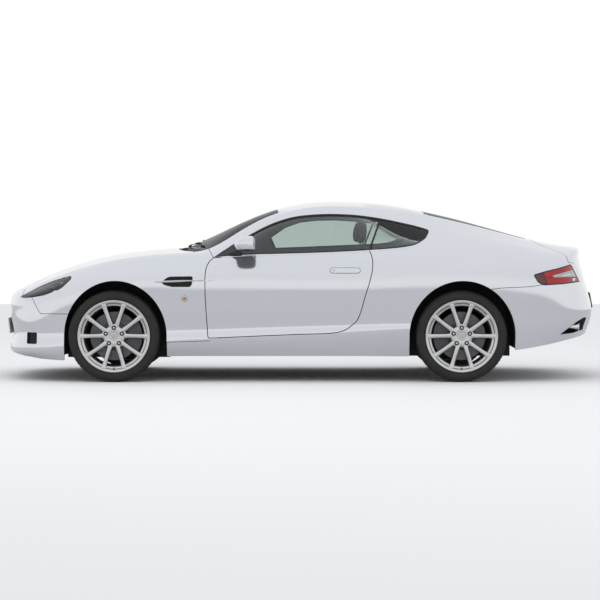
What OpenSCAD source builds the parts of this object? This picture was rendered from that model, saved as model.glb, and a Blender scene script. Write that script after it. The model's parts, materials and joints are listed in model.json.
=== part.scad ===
// Two-door coupe car. Millimetres. +X forward, +Y the car's left, +Z up,
// origin on the ground in the middle of the car's length and width.

/* [Body] */
// Thickness of the outer skin panels
skin_t = 36; // [20:1:50]
// Thickness of the doors and sills
door_t = 100; // [70:1:130]
// Width of the shut gap round fixed panels
shut = 4; // [3:0.5:8]
// Width of the gap round doors, bonnet and boot lid
gap = 6; // [5:0.5:9]
// Thickness of the windscreen and rear window
glass_t = 6; // [4:1:8]

/* [Wheels] */
// Distance of the front axle ahead of the middle
axle_front = 1401; // [1300:1:1450]
// Distance of the rear axle behind the middle
axle_rear = 1217; // [1150:1:1300]
// Outer radius of the tyres
tyre_r = 346; // [330:1:350]
// Radius of the rim flange
rim_r = 272; // [255:1:278]
// Width of a front tyre
tyre_w_front = 240; // [220:5:245]
// Width of a rear tyre
tyre_w_rear = 280; // [250:5:290]
// Outer face of every tyre from the middle of the car
track_face = 900; // [880:1:905]
// Radius of the brake discs
disc_r = 185; // [170:1:190]
// Height of the front arch opening over the axle
arch_rise = 418; // [400:1:425]

/* [Cabin] */
// Middle of each front seat from the middle of the car
seat_y = 370; // [340:1:390]
// Radius of the steering wheel
steer_r = 182; // [170:1:190]
// Tilt of the steering column
column_tilt = 25; // [15:1:35]

/* [View] */
// Which piece to draw

/* [Hidden] */

// Each row runs from the nose, round the corner, along the left side and round to the tail.
rows = [
  // bottom edge
  [[2200,0,190],[2185,315,188],[2120,570,182],[2030,720,176],[1935,795,170],[1715,856,162],[1400,868,175],[1100,860,190],
   [860,852,195],[620,848,195],[330,845,195],[0,844,195],[-340,846,195],[-660,853,194],[-950,864,194],[-1220,882,205],
   [-1500,875,226],[-1760,838,260],[-1950,765,295],[-2085,655,322],[-2180,500,340],[-2225,290,352],[-2240,0,356]],
  // lower crease
  [[2268,0,225],[2250,335,226],[2185,600,232],[2075,765,240],[1950,838,250],[1720,892,262],[1400,905,285],[1100,896,300],
   [860,892,310],[620,889,322],[330,887,336],[0,887,348],[-340,890,362],[-660,902,374],[-950,914,380],[-1220,922,383],
   [-1500,910,386],[-1760,872,395],[-1960,806,408],[-2105,692,420],[-2205,525,428],[-2252,300,432],[-2266,0,434]],
  // lower side
  [[2248,0,335],[2230,320,335],[2172,575,338],[2070,745,342],[1950,820,348],[1720,884,358],[1400,906,375],[1100,888,385],
   [860,880,388],[620,876,395],[330,874,405],[0,875,415],[-340,882,426],[-660,898,436],[-950,915,442],[-1220,928,445],
   [-1500,916,447],[-1760,880,452],[-1965,815,460],[-2118,704,468],[-2216,536,474],[-2264,305,478],[-2278,0,480]],
  // middle of the side
  [[2262,0,430],[2243,310,432],[2183,560,436],[2078,738,442],[1950,826,450],[1720,890,480],[1400,915,520],[1100,903,535],
   [860,896,540],[620,893,545],[330,891,550],[0,891,555],[-340,896,560],[-660,909,565],[-950,925,568],[-1220,935,568],
   [-1500,922,562],[-1760,886,555],[-1970,820,552],[-2124,710,552],[-2220,540,555],[-2267,308,558],[-2282,0,560]],
  // waist
  [[2266,0,520],[2248,300,522],[2190,545,530],[2085,722,545],[1950,820,570],[1720,893,640],[1400,925,700],[1100,915,725],
   [860,906,735],[620,902,740],[330,900,744],[0,900,746],[-340,904,748],[-660,917,752],[-950,932,755],[-1220,940,750],
   [-1500,928,732],[-1760,890,702],[-1962,820,680],[-2100,702,676],[-2190,532,680],[-2236,302,686],[-2250,0,690]],
  // shoulder
  [[2270,0,580],[2252,285,590],[2195,520,605],[2095,690,630],[1950,780,665],[1720,850,740],[1400,892,805],[1100,890,828],
   [860,880,838],[620,876,845],[330,873,852],[0,872,859],[-340,876,867],[-660,890,876],[-950,904,884],[-1220,910,886],
   [-1500,896,880],[-1760,858,866],[-1960,788,855],[-2070,670,858],[-2142,505,868],[-2180,290,878],[-2192,0,882]],
  // belt crest
  [[2268,0,618],[2252,235,628],[2198,425,645],[2110,560,668],[1950,660,718],[1720,745,806],[1400,800,885],[1100,812,912],
   [860,818,930],[620,812,944],[330,812,966],[0,812,979],[-340,816,992],[-660,822,1010],[-950,820,1025],[-1220,814,1026],
   [-1500,798,1008],[-1760,760,975],[-1960,700,948],[-2062,612,938],[-2130,475,942],[-2172,280,950],[-2186,0,954]],
  // top of the side glass
  [[2250,0,650],[2238,190,655],[2190,350,668],[2105,470,690],[1955,560,748],[1720,645,838],[1400,705,918],[1100,735,950],
   [860,748,968],[620,738,998],[330,702,1130],[0,640,1245],[-340,622,1265],[-660,635,1228],[-950,672,1165],[-1220,675,1120],
   [-1500,658,1075],[-1760,628,1022],[-1960,590,985],[-2062,535,975],[-2128,435,983],[-2172,265,993],[-2187,0,998]],
  // seam to the top panels
  [[2215,0,678],[2203,160,680],[2160,290,690],[2080,385,715],[1950,455,765],[1720,540,845],[1400,610,925],[1100,645,962],
   [860,662,977],[620,655,1030],[330,598,1203],[0,545,1307],[-340,530,1327],[-660,528,1305],[-950,520,1259],[-1220,508,1199],
   [-1500,500,1127],[-1760,495,1055],[-1960,470,1013],[-2045,430,1003],[-2105,355,1003],[-2148,215,1008],[-2163,0,1012]],
];
// Middle line of the bonnet and then of the cabin and boot
mid_front = [[2215,678],[2208,683],[2180,698],[2105,735],[1950,801],[1720,884],[1400,958],[1100,992],[860,1004],[620,1004]];
mid_rear = [[1100,905],[860,1016],[620,1126],[330,1255],[0,1349],[-340,1367],[-660,1345],[-950,1292],[-1220,1229],[-1500,1152],[-1760,1081],[-1960,1038],[-2045,1024],[-2105,1017],[-2148,1014],[-2163,1013]];

// ---- smooth curves through the rows ----
function flip(p) = [p[0],-p[1],p[2]];
function pad_line(c) = concat([2*c[0]-c[1]], c, [2*c[len(c)-1]-c[len(c)-2]]);
function pad_flip(c) = concat([flip(c[1])], c, [flip(c[len(c)-2])]);
function knots(a,c,m,k) = k==0 ? c : let(p = m ? pad_flip(c) : pad_line(c))
  knots(a,[for(i=[0:len(c)-1]) c[i]+a[i]-(p[i]+4*p[i+1]+p[i+2])/6],m,k-1);
function b4(t) = [pow(1-t,3),3*t*t*t-6*t*t+4,-3*t*t*t+3*t*t+3*t+1,t*t*t]/6;
row_knots = [for(r=rows) knots(r,r,true,10)];
net = pad_line([for(r=knots(row_knots,row_knots,false,10)) pad_flip(r)]);
front_knots = pad_line(knots(mid_front,mid_front,false,10));
rear_knots = pad_line(knots(mid_rear,mid_rear,false,10));
nose = 0; tail = 22;
function side_point(u,v) = let(i=min(floor(u),21),j=min(floor(v),7),a=b4(u-i),b=b4(v-j))
  b*[for(q=[0:3]) a*[for(p=[0:3]) net[j+q][i+p]]];
function mid_at(k,n,u) = let(w=max(0,min(n,u)),i=min(floor(w),n-1)) b4(w-i)*[for(p=[0:3]) k[i+p]];
function mid_point(u) = let(f=mid_at(front_knots,9,u),g=mid_at(rear_knots,15,u-7))
  [u<8 ? f[0] : g[0], u>=9 ? g[1] : u<=7 ? f[1] : max(f[1],g[1])];
function top_point(u,s) = let(p=side_point(u,8),q=side_point(u,7.95),m=mid_point(u),
    rise=max(m[1]-p[2],0.001),slope=(p[2]-q[2])/max(0.01,q[1]-p[1]),
    e=p[1]<1 ? 2 : max(1.6,min(4,slope*p[1]/rise)))
  [p[0]+(m[0]-p[0])*s, p[1]*(1-s), m[1]-rise*pow(1-s,e)];

us = [0,0.5,1,1.5,2,2.5,3,3.5,4,5,6,7,8,8.5,9,9.5,10,10.5,11,12,13,14,15,16,17,17.5,18,18.5,19,19.5,20,21,22];
vs = [0,0.5,1,1.5,2,3,3.5,4,4.5,5,5.5,6,6.5,7,7.5,8];
ss = [0.25,0.5,0.75,1];
nu = len(us); nk = len(vs)+len(ss); seam = len(vs)-1;
grid = [for(u=us) [for(k=[0:nk-1]) k<=seam ? side_point(u,vs[k]) : top_point(u,ss[k-seam-1])]];
function unit(v,f) = norm(v)<20 ? f : v/norm(v);
function normal_at(i,k) = let(a=i==0 ? flip(grid[1][k]) : grid[i-1][k], b=i==nu-1 ? flip(grid[nu-2][k]) : grid[i+1][k],
    c=k==0 ? grid[i][0] : grid[i][k-1], d=k==nk-1 ? flip(grid[i][k-1]) : grid[i][k+1])
  (i==0 && k>=seam) ? [0.5,0,0.866] : (i==nu-1 && k>=seam) ? [-0.6,0,0.8] : unit(cross(b-a,d-c),[0,0,1]);
normals = [for(i=[0:nu-1]) [for(k=[0:nk-1]) normal_at(i,k)]];

// Closed body, its surface moved in by d and its bottom lowered by drop
function vert(i,k,d,drop) = grid[i][k]-d*normals[i][k]-(k==0 ? [0,0,drop] : [0,0,0]);
function lid(i,k) = i*nk + ((i==0 || i==nu-1) ? min(k,seam) : k);
function rid(i,k) = (i==0 || i==nu-1 || k==nk-1) ? lid(i,k) : nu*nk + i*nk + k;
function whole(t) = [for(f=t) if(f[0]!=f[1] && f[1]!=f[2] && f[0]!=f[2]) f];
module body_solid(d=0,drop=0)
  polyhedron(points=concat([for(i=[0:nu-1]) for(k=[0:nk-1]) vert(i,k,d,drop)],[for(i=[0:nu-1]) for(k=[0:nk-1]) flip(vert(i,k,d,drop))]),
    faces=whole(concat(
      [for(i=[0:nu-2]) for(k=[0:nk-2]) each [[lid(i,k),lid(i+1,k+1),lid(i+1,k)],[lid(i,k),lid(i,k+1),lid(i+1,k+1)]]],
      [for(i=[0:nu-2]) for(k=[0:nk-2]) each [[rid(i,k),rid(i+1,k),rid(i+1,k+1)],[rid(i,k),rid(i+1,k+1),rid(i,k+1)]]],
      [for(i=[0:nu-2]) each [[lid(i,0),lid(i+1,0),rid(i+1,0)],[lid(i,0),rid(i+1,0),rid(i,0)]]])),convexity=8);

// ---- tools for cutting panels ----
module meshed() resize([0,0,0]) children();
module both() { children(); mirror([0,1,0]) children(); }
module xz(y0,y1) translate([0,y1,0]) rotate([90,0,0]) linear_extrude(y1-y0) children();
module xy(z0,z1) translate([0,0,z0]) linear_extrude(z1-z0) children();
module yz(x0,x1) translate([x0,0,0]) rotate([90,0,90]) linear_extrude(x1-x0) children();
module wall(a,b) difference() { body_solid(a); body_solid(b,80); }
module grow(d) offset(delta=d) children();
function twin(h) = concat(h,[for(i=[len(h)-1:-1:0]) [h[i][0],-h[i][1]]]);

// side outlines, x and z
door_line = [[652,934],[691,892],[708,846],[714,742],[713,657],[701,456],[693,332],[300,349],[0,361],[-215,368],[-345,396],[-431,469],[-488,641],[-538,814],[-547,907],[-524,988],[-221,972],[155,960],[330,956]];
window_line = [[651,940],[330,962],[155,966],[-221,978],[-522,994],[-722,1009],[-848,1028],[-953,1084],[-978,1141],[-919,1166],[-793,1197],[-603,1236],[-413,1261],[-224,1268],[30,1249],[207,1197],[370,1116],[520,1027]];
module door2d() polygon(door_line);
module window2d() polygon(window_line);
module door_window2d() intersection() { window2d(); polygon([[700,800],[700,1400],[-612,1400],[-612,1240],[-604,1236],[-534,1020],[-522,900]]); }
module sail2d() intersection() { window2d(); translate([492,800]) square([300,500]); }
module arches2d() {
  translate([1390,346]) scale([387/arch_rise,1]) circle(arch_rise,$fn=64);
  translate([1003,60]) square([764,288]);
  translate([-1222,346]) scale([400/arch_rise,1]) circle(arch_rise,$fn=64);
  translate([-1622,60]) square([799,288]);
}
module sill2d() polygon([[1003,120],[1003,301],[693,312],[300,326],[0,340],[-215,348],[-345,374],[-436,392],[-640,400],[-823,404],[-823,120]]);
module front_bumper2d() polygon([[1600,60],[1600,514],[1957,514],[1990,560],[2040,645],[2120,640],[2133,800],[2500,900],[2500,60]]);
module rear_bumper2d() polygon([[-1430,60],[-1430,700],[-1506,710],[-1734,720],[-1833,735],[-2136,750],[-2500,750],[-2500,60]]);
module headlight2d() polygon([[2133,635],[2020,696],[1917,742],[1830,772],[1746,796],[1730,786],[1740,764],[1807,704],[1870,678],[1931,655],[2020,640],[2097,631]]);
module tail_light2d() polygon([[-1757,808],[-1850,834],[-1960,858],[-2064,884],[-2100,815],[-2136,752],[-1990,738],[-1833,730],[-1790,752]]);
module vent2d() polygon([[1041,750],[1010,782],[980,796],[815,798],[805,790],[812,735],[826,717],[960,717],[1020,732]]);
module fender_rear2d() polygon([[700,1600],[700,1012],[655,940],[600,900],[600,60],[-2500,60],[-2500,1600]]);
module exhaust2d() polygon([[-1966,353],[-2010,384],[-2095,444],[-2160,477],[-2300,480],[-2300,374],[-2150,374],[-2078,361]]);

// top outlines, x and y, left half
module bonnet2d() polygon(twin([[955,60],[942,250],[905,450],[850,600],[800,672],[800,712],[1100,728],[1400,712],[1600,676],[1720,648],[1800,622],[1900,582],[2000,524],[2070,466],[2140,382],[2185,300],[2212,200],[2228,100],[2232,40]]));
module cowl2d() polygon(twin([[958,60],[945,250],[908,452],[852,604],[798,676],[745,672],[800,560],[838,400],[858,200],[862,60]]));
module windscreen2d() polygon(twin([[862,60],[858,200],[838,400],[800,560],[745,672],[620,630],[470,602],[330,576],[170,540],[160,500],[178,300],[184,60]]));
module roof2d() polygon(twin([[184,60],[178,300],[160,500],[170,540],[0,528],[-340,516],[-660,514],[-950,506],[-965,460],[-940,300],[-922,60]]));
module rear_window2d() polygon(twin([[-922,60],[-940,300],[-962,450],[-990,486],[-1100,482],[-1300,466],[-1500,440],[-1660,412],[-1720,380],[-1748,320],[-1762,60]]));
module boot_lid2d() polygon(twin([[-1784,60],[-1788,320],[-1802,430],[-1850,510],[-1940,584],[-2020,636],[-2046,700],[-2300,700],[-2300,60]]));
module boot_lid_prism(g=0) {
  xy(894-g,1300) grow(g) boot_lid2d();
  yz(-2400,-2040) grow(g) polygon([[-560,752],[560,752],[610,900],[-610,900]]);
}
module bonnet_cut(g=0) xy(640,1300) grow(g) bonnet2d();

// ---- fixed body panels ----
module front_fenders() color("silver") meshed() both() difference() {
  intersection() {
    difference() { body_solid(); body_solid(skin_t,80); }
    xz(60,1200) grow(-shut/2) difference() {
      translate([500,60]) square([1640,1500]);
      fender_rear2d(); sill2d(); front_bumper2d(); arches2d(); headlight2d(); vent2d();
      translate([867,630]) circle(24,$fn=32);
    }
  }
  bonnet_cut(gap/2);
  xy(600,1500) grow(shut/2) { cowl2d(); windscreen2d(); }
  xz(60,1200) grow(gap/2) door2d();
}
module front_bumper() color("silver") meshed() difference() {
  intersection() {
    wall(0,skin_t);
    xz(-1200,1200) grow(-shut/2) difference() { front_bumper2d(); arches2d(); headlight2d(); translate([1989,284]) square([82,87]); }
  }
  bonnet_cut(gap/2);
  yz(1990,2400) { grille2d(); intake2d(); }
}
module grille2d() polygon([[-395,470],[-360,452],[360,452],[395,470],[425,505],[400,540],[235,582],[-235,582],[-400,540],[-425,505]]);
module intake2d() polygon([[-400,272],[400,272],[425,300],[340,334],[-340,334],[-425,300]]);
module grille() color("dimgray") meshed() {
  intersection() { wall(16,26); union() { for(z=[476,503,530,557]) translate([1800,-410,z-6]) cube([600,820,12]); } yz(1990,2400) grow(-3) grille2d(); }
  intersection() { wall(22,34); for(y=[-220,0,220]) translate([1800,y-6,400]) cube([600,12,300]); yz(1990,2400) grow(-3) grille2d(); }
  intersection() { wall(16,26); for(z=[288,310]) translate([1800,-420,z-5]) cube([600,840,10]); yz(1990,2400) grow(-3) intake2d(); }
  intersection() { wall(22,34); for(y=[-240,0,240]) translate([1800,y-5,250]) cube([600,10,100]); yz(1990,2400) grow(-3) intake2d(); }
}
module front_plate() color("white") xz(-260,260) polygon([[2282,456],[2276,457],[2262,341],[2268,340]]);
module headlights() color("black") meshed() both() intersection() {
  wall(30,75);
  xz(300,1200) grow(-8) headlight2d();
  difference() { translate([1600,300,500]) cube([700,700,400]); bonnet_cut(gap/2+2); }
}
module headlight_lenses() color("lightblue") meshed() both() intersection() {
  wall(0,6);
  xz(300,1200) grow(-shut/2) headlight2d();
  difference() { translate([1600,300,500]) cube([700,700,400]); bonnet_cut(gap/2+1); }
}
module side_vents() color("black") meshed() both() {
  intersection() { wall(14,30); xz(60,1200) grow(-shut) vent2d(); }
  intersection() { wall(0,20); xz(60,1200) polygon([[1026,746],[822,752],[822,764],[1014,758]]); }
}
module cowl() color("black") meshed() difference() {
  intersection() { wall(6,30); xy(700,1300) grow(-shut/2) cowl2d(); }
}
module windscreen() color("lightblue") meshed() intersection() { wall(0,glass_t); xy(900,1500) grow(-shut/2) windscreen2d(); }
module roof_panel() color("silver") meshed() intersection() { wall(0,skin_t); xy(1000,1500) grow(-shut/2) roof2d(); }
module rear_window() color("lightblue") meshed() intersection() { wall(0,glass_t); xy(900,1500) grow(-shut/2) rear_window2d(); }
module body_sides() color("silver") meshed() difference() {
  intersection() {
    wall(0,skin_t);
    xz(-1200,1200) grow(-shut/2) difference() { fender_rear2d(); sill2d(); rear_bumper2d(); arches2d(); tail_light2d(); window2d(); }
  }
  xz(-1200,1200) grow(gap/2) { door2d(); door_window2d(); }
  xy(900,1600) grow(shut/2) { cowl2d(); windscreen2d(); roof2d(); rear_window2d(); }
  boot_lid_prism(gap/2);
}
module quarter_glass() color("lightblue") meshed() both() intersection() {
  wall(4,9);
  xz(60,1200) grow(-2) difference() { window2d(); grow(3) door_window2d(); }
}
module sills() color("silver") meshed() both() intersection() {
  wall(0,door_t);
  xz(771,1200) grow(-shut/2) sill2d();
}
module rear_bumper() color("silver") meshed() difference() {
  intersection() {
    wall(0,skin_t);
    xz(-1200,1200) grow(-shut/2) difference() { rear_bumper2d(); arches2d(); tail_light2d(); }
  }
  boot_lid_prism(gap/2);
  both() xz(430,900) exhaust2d();
}
module tail_lights() color("darkred") meshed() both() intersection() {
  wall(0,30);
  xz(300,1200) grow(-shut/2) tail_light2d();
  difference() { translate([-2300,300,600]) cube([700,700,400]); boot_lid_prism(gap/2+1); }
}
module tow_socket() color("gray") difference() {
  translate([-2110,-30,282]) cube([90,60,42]);
  translate([-2111,0,303]) rotate([0,90,0]) cylinder(r=9,h=61,$fn=64);
}
module exhaust_tips() color("gainsboro") both() {
  for(y=[560]) difference() {
    translate([-2124,y,406]) rotate([0,90,0]) cylinder(r=40,h=137,$fn=64);
    translate([-2125,y,406]) rotate([0,90,0]) cylinder(r=36,h=127,$fn=64);
  }
}

// ---- underneath ----
module wheel_well(cx,g=0) translate([cx,346]) scale([(400+g)/(426+g),1]) circle(426+g,$fn=48);
module wells2d(g=0) { wheel_well(1395,g); translate([995-g,0]) square([800+2*g,346]); wheel_well(-1222,g); translate([-1622-g,0]) square([800+2*g,346]); }
module arch_liners() color("black") meshed() both() intersection() {
  body_solid(skin_t+6,0);
  translate([-3000,0,218]) cube([6000,1000,900]);
  difference() {
    xz(468,920) wells2d(6);
    xz(474,930) wells2d(0);
    xz(769,1200) translate([-829.3,100]) square([1836.6,309.7]);
    // hole for each rear arm
    translate([-1262,460,200]) cube([90,20,80]);
  }
}
module underbody() color("dimgray") meshed() {
  difference() {
    intersection() {
      body_solid(skin_t+6,-2);
      xz(-770,770) polygon([[2150,186],[1990,186],[1760,182],[1000,205],[-900,205],[-1300,215],[-1700,262],[-2000,325],[-2150,352],[-2150,380],[-2000,355],[-1700,292],[-1300,245],[-900,235],[1000,235],[1760,212],[1990,216],[2150,216]]);
    }
    both() xz(466,1000) wells2d(8);
    both() translate([-2200,508,320]) cube([230,104,100]);
  }
  // jacking pads
  both() for(x=[-760,820]) translate([x-45,690,199]) cube([90,60,20]);
}
module front_frame() color("dimgray") {
  both() translate([802,330,237]) cube([1300,60,68]);
  translate([2070,-390,237]) cube([60,780,138]);
}
module tunnel() color("dimgray") difference() {
  translate([-1050,-130,241]) cube([1820,260,169]);
  translate([-1100,-110,200]) cube([1930,220,190]);
}
module firewall() color("dimgray") meshed() intersection() {
  body_solid(skin_t+6,0);
  translate([775,-770,237]) cube([25,1540,618]);
}
// cabin bulkhead behind the rear seats, and the boot floor and walls
module boot_tub() color("dimgray") {
  translate([-1110,-462,242]) cube([20,924,533]);
  translate([-2120,-462,460]) cube([1020,924,18]);
  both() translate([-2120,444,384]) cube([1020,18,246]);
  translate([-2130,-462,384]) cube([18,924,246]);
}
module engine_block() color("gray") translate([830,-260,320]) cube([640,520,480]);
module suspension() color("gray") both() {
  // front lower arms end below the knuckle
  translate([1376,392,240]) cube([50,74,40]);
  // rear arms, carriers, stub axles and calipers
  translate([-1217,0,346]) {
    upright(1);
    translate([-25,468,-125]) cube([50,270,40]);
  }
}

// ---- wheels; each is drawn round a wheel centre at the origin, outer face towards +Y ----
module spin_y() rotate([-90,0,0]) children();
module tyre(w) translate([0,track_face-w/2,0]) spin_y() rotate_extrude($fn=72)
  polygon([[257,-w/2+14],[274,-w/2+9],[300,-w/2],[322,-w/2+3],[339,-w/2+14],[tyre_r,-w/2+34],[tyre_r,w/2-34],[339,w/2-14],[322,w/2-3],[300,w/2],[274,w/2-9],[257,w/2-14],[262,w/2-30],[330,w/2-44],[330,-w/2+44],[262,-w/2+30]]);
module rim(w) {
  translate([0,track_face-w/2,0]) spin_y() rotate_extrude($fn=72)
    polygon([[rim_r,-w/2+8],[rim_r,-w/2+2],[262,-w/2+2],[244,-w/2+16],[236,-w/2+50],[236,w/2-40],[246,w/2-14],[262,w/2-2],[rim_r,w/2-2],[rim_r,w/2-8],[256,w/2-12],[253,w/2-30],[246,w/2-50],[246,-w/2+50],[253,-w/2+30],[256,-w/2+12]]);
  difference() {
    translate([0,860,0]) spin_y() cylinder(r=84,h=28,$fn=64);
    translate([0,850,0]) spin_y() cylinder(r=36,h=24,$fn=48);
  }
  for(c=[90:72:378]) for(k=[-1,1]) let(a=c+14*k,b=c+18*k,n=c+k*40)
    translate([0,888,0]) rotate([90,0,0]) linear_extrude(26)
      polygon([[70*cos(a-9),70*sin(a-9)],[240*cos(b-3),240*sin(b-3)],[240*cos(b+3),240*sin(b+3)],[70*cos(a+9),70*sin(a+9)]]);
}
module brake_disc() difference() {
  union() {
    translate([0,800,0]) spin_y() cylinder(r=disc_r,h=30,$fn=96);
    translate([0,800,0]) spin_y() cylinder(r=80,h=56,$fn=64);
  }
  translate([0,790,0]) spin_y() cylinder(r=28.05,h=80,$fn=64);
  translate([0,799,0]) spin_y() cylinder(r=64,h=47,$fn=64);
}
module upright(k) {
  difference() {
    translate([-32,735,-175]) cube([64,42,350]);
  }
  translate([0,776,0]) spin_y() cylinder(r=60,h=12,$fn=48);
  translate([0,776,0]) spin_y() cylinder(r=28,h=80,$fn=64);
  difference() {
    translate([0,755,0]) rotate([-90,0,0]) linear_extrude(97) polygon(concat([for(a=[-34:4:34]) [k*212*cos(a),212*sin(a)]],[for(a=[34:-4:-34]) [k*120*cos(a),120*sin(a)]]));
    translate([0,792,0]) spin_y() cylinder(r=192,h=46,$fn=96);
  }
  translate([k>0 ? 20 : -150,750,-30]) cube([130,28,60]);
}
module at_wheel(x,right) mirror([0,right ? 1 : 0,0]) translate([x,0,346]) children();

// ---- moving panels ----
module bonnet() color("silver") meshed() intersection() { wall(0,skin_t); xy(646,1300) grow(-gap/2) bonnet2d(); }
module boot_lid() color("silver") meshed() intersection() { wall(0,skin_t); union() { xy(897,1300) grow(-gap/2) boot_lid2d(); yz(-2400,-2043) polygon([[-555,757],[555,757],[605,900],[-605,900]]); } }
module door() meshed() union() {
  intersection() { wall(0,skin_t); xz(300,1200) grow(-gap/2) door2d(); }
  intersection() { wall(skin_t-6,door_t); xz(300,1200) intersection() { grow(-26) door2d(); translate([-600,200]) square([1400,720]); } }
}
module door_glass() meshed() intersection() {
  wall(4,9);
  xz(300,1200) difference() { grow(-gap/2) door_window2d(); sail2d(); }
}
module mirror_piece() meshed() union() {
  intersection() { wall(2,20); xz(300,1200) grow(-gap/2) sail2d(); }
  hull() { translate([522,778,958]) sphere(11,$fn=12); translate([508,778,958]) sphere(9,$fn=12); translate([516,834,985]) sphere(11,$fn=12); translate([506,836,985]) sphere(9,$fn=12); }
  hull() { translate([513,835,984]) sphere(10,$fn=10); translate([437,884,1006]) sphere(10,$fn=10); }
  hull() {
    translate([395,850,1000]) sphere(14,$fn=12); translate([375,1000,1010]) sphere(12,$fn=12);
    translate([392,860,1078]) sphere(14,$fn=12); translate([374,985,1080]) sphere(14,$fn=12);
    translate([470,865,1000]) sphere(13,$fn=12); translate([440,975,1015]) sphere(13,$fn=12);
    translate([460,890,1045]) sphere(22,$fn=12); translate([425,960,1050]) sphere(22,$fn=12);
  }
}

// ---- cabin ----
module dashboard() color("black") meshed() difference() {
  xz(-670,670) polygon([[770,600],[770,900],[740,935],[640,935],[520,900],[440,830],[430,760],[470,640],[560,560],[700,560]]);
  translate([380,seat_y-90,725]) cube([140,180,175]);
}
module seat2d_cushion() polygon([[-400,250],[60,250],[110,380],[90,440],[-60,440],[-300,400],[-400,420]]);
module seat2d_back() polygon([[-300,430],[-390,450],[-560,900],[-575,1030],[-530,1060],[-470,1010],[-420,820]]);
module front_seats() color("dimgray") both() meshed() union() {
  xz(seat_y-240,seat_y+240) seat2d_cushion();
  xz(seat_y-225,seat_y+225) polygon([[-290,380],[-400,380],[-585,950],[-560,1040],[-500,1040],[-440,860]]);
  xz(seat_y-130,seat_y+130) polygon([[-500,1000],[-560,1030],[-540,1190],[-500,1212],[-450,1200],[-440,1100]]);
}
module rear_seats() color("dimgray") both() meshed() union() {
  xz(150,440) polygon([[-620,240],[-600,440],[-640,470],[-900,430],[-1000,420],[-1080,420],[-1080,240]]);
  xz(150,440) polygon([[-900,400],[-1080,400],[-1085,860],[-1040,900],[-990,880]]);
}
module cabin_trim() color("black") meshed() union() {
  difference() {
    translate([-640,-105,412]) cube([1080,210,100]);
    translate([-200,-60,470]) cube([360,120,60]);
  }
  translate([-1085,-105,412]) cube([450,210,40]);
  // parcel shelf
  intersection() { body_solid(skin_t+8,0); translate([-1500,-600,880]) cube([420,1200,16]); }
}
col_x = 178; col_z = 904;
module steering_wheel() color("black") translate([col_x,seat_y,col_z]) rotate([0,90+column_tilt,0]) {
  rotate_extrude($fn=48) translate([steer_r-14,0]) circle(14,$fn=16);
  difference() {
    union() {
      cylinder(r=44,h=30,center=true,$fn=48);
      for(a=[0,120,240]) rotate([0,0,a+90]) translate([30,-16,-5]) cube([steer_r-38,32,10]);
    }
    translate([0,0,-1]) cylinder(r=14.05,h=40,$fn=48);
  }
}
module steering_column() translate([col_x,seat_y,col_z]) rotate([0,90+column_tilt,0]) cylinder(r=14,h=350,$fn=48);
module knuckle() upright_front();
module upright_front() {
  translate([-32,735,-150]) cube([64,42,300]);
  translate([0,776,0]) spin_y() cylinder(r=60,h=12,$fn=48);
  translate([0,776,0]) spin_y() cylinder(r=28,h=80,$fn=64);
  difference() {
    translate([0,755,0]) rotate([90,0,0]) mirror([0,0,1]) linear_extrude(97) polygon(concat([for(a=[-34:4:34]) [-212*cos(a),212*sin(a)]],[for(a=[34:-4:-34]) [-120*cos(a),120*sin(a)]]));
    translate([0,792,0]) spin_y() cylinder(r=192,h=46,$fn=96);
  }
  translate([-150,750,-30]) cube([130,28,60]);
}

underbody();
front_frame();
tunnel();
firewall();
boot_tub();
arch_liners();
engine_block();
front_bumper();
front_plate();
grille();
front_fenders();
headlights();
headlight_lenses();
side_vents();
cowl();
windscreen();
roof_panel();
body_sides();
quarter_glass();
rear_window();
sills();
rear_bumper();
tail_lights();
tow_socket();
exhaust_tips();
suspension();
dashboard();
steering_column();
front_seats();
rear_seats();
cabin_trim();
bonnet();
boot_lid();
color("silver") door();  // door_left
color("silver") mirror([0,1,0]) door();  // door_right
color("lightblue") door_glass();  // door_glass_left
color("lightblue") mirror([0,1,0]) door_glass();  // door_glass_right
color("silver") mirror_piece();  // mirror_left
color("silver") mirror([0,1,0]) mirror_piece();  // mirror_right
steering_wheel();
color("gray") at_wheel(axle_front,false) knuckle();  // knuckle_front_left
color("gray") at_wheel(axle_front,true) knuckle();  // knuckle_front_right
color("black") at_wheel(axle_front,false) tyre(tyre_w_front);  // tyre_front_left
color("black") at_wheel(axle_front,true) tyre(tyre_w_front);  // tyre_front_right
color("black") at_wheel(-axle_rear,false) tyre(tyre_w_rear);  // tyre_rear_left
color("black") at_wheel(-axle_rear,true) tyre(tyre_w_rear);  // tyre_rear_right
color("silver") at_wheel(axle_front,false) rim(tyre_w_front);  // wheel_front_left
color("silver") at_wheel(axle_front,true) rim(tyre_w_front);  // wheel_front_right
color("silver") at_wheel(-axle_rear,false) rim(tyre_w_rear);  // wheel_rear_left
color("silver") at_wheel(-axle_rear,true) rim(tyre_w_rear);  // wheel_rear_right
color("gray") at_wheel(axle_front,false) brake_disc();  // brake_disc_front_left
color("gray") at_wheel(axle_front,true) brake_disc();  // brake_disc_front_right
color("gray") at_wheel(-axle_rear,false) brake_disc();  // brake_disc_rear_left
color("gray") at_wheel(-axle_rear,true) brake_disc();  // brake_disc_rear_right
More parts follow.
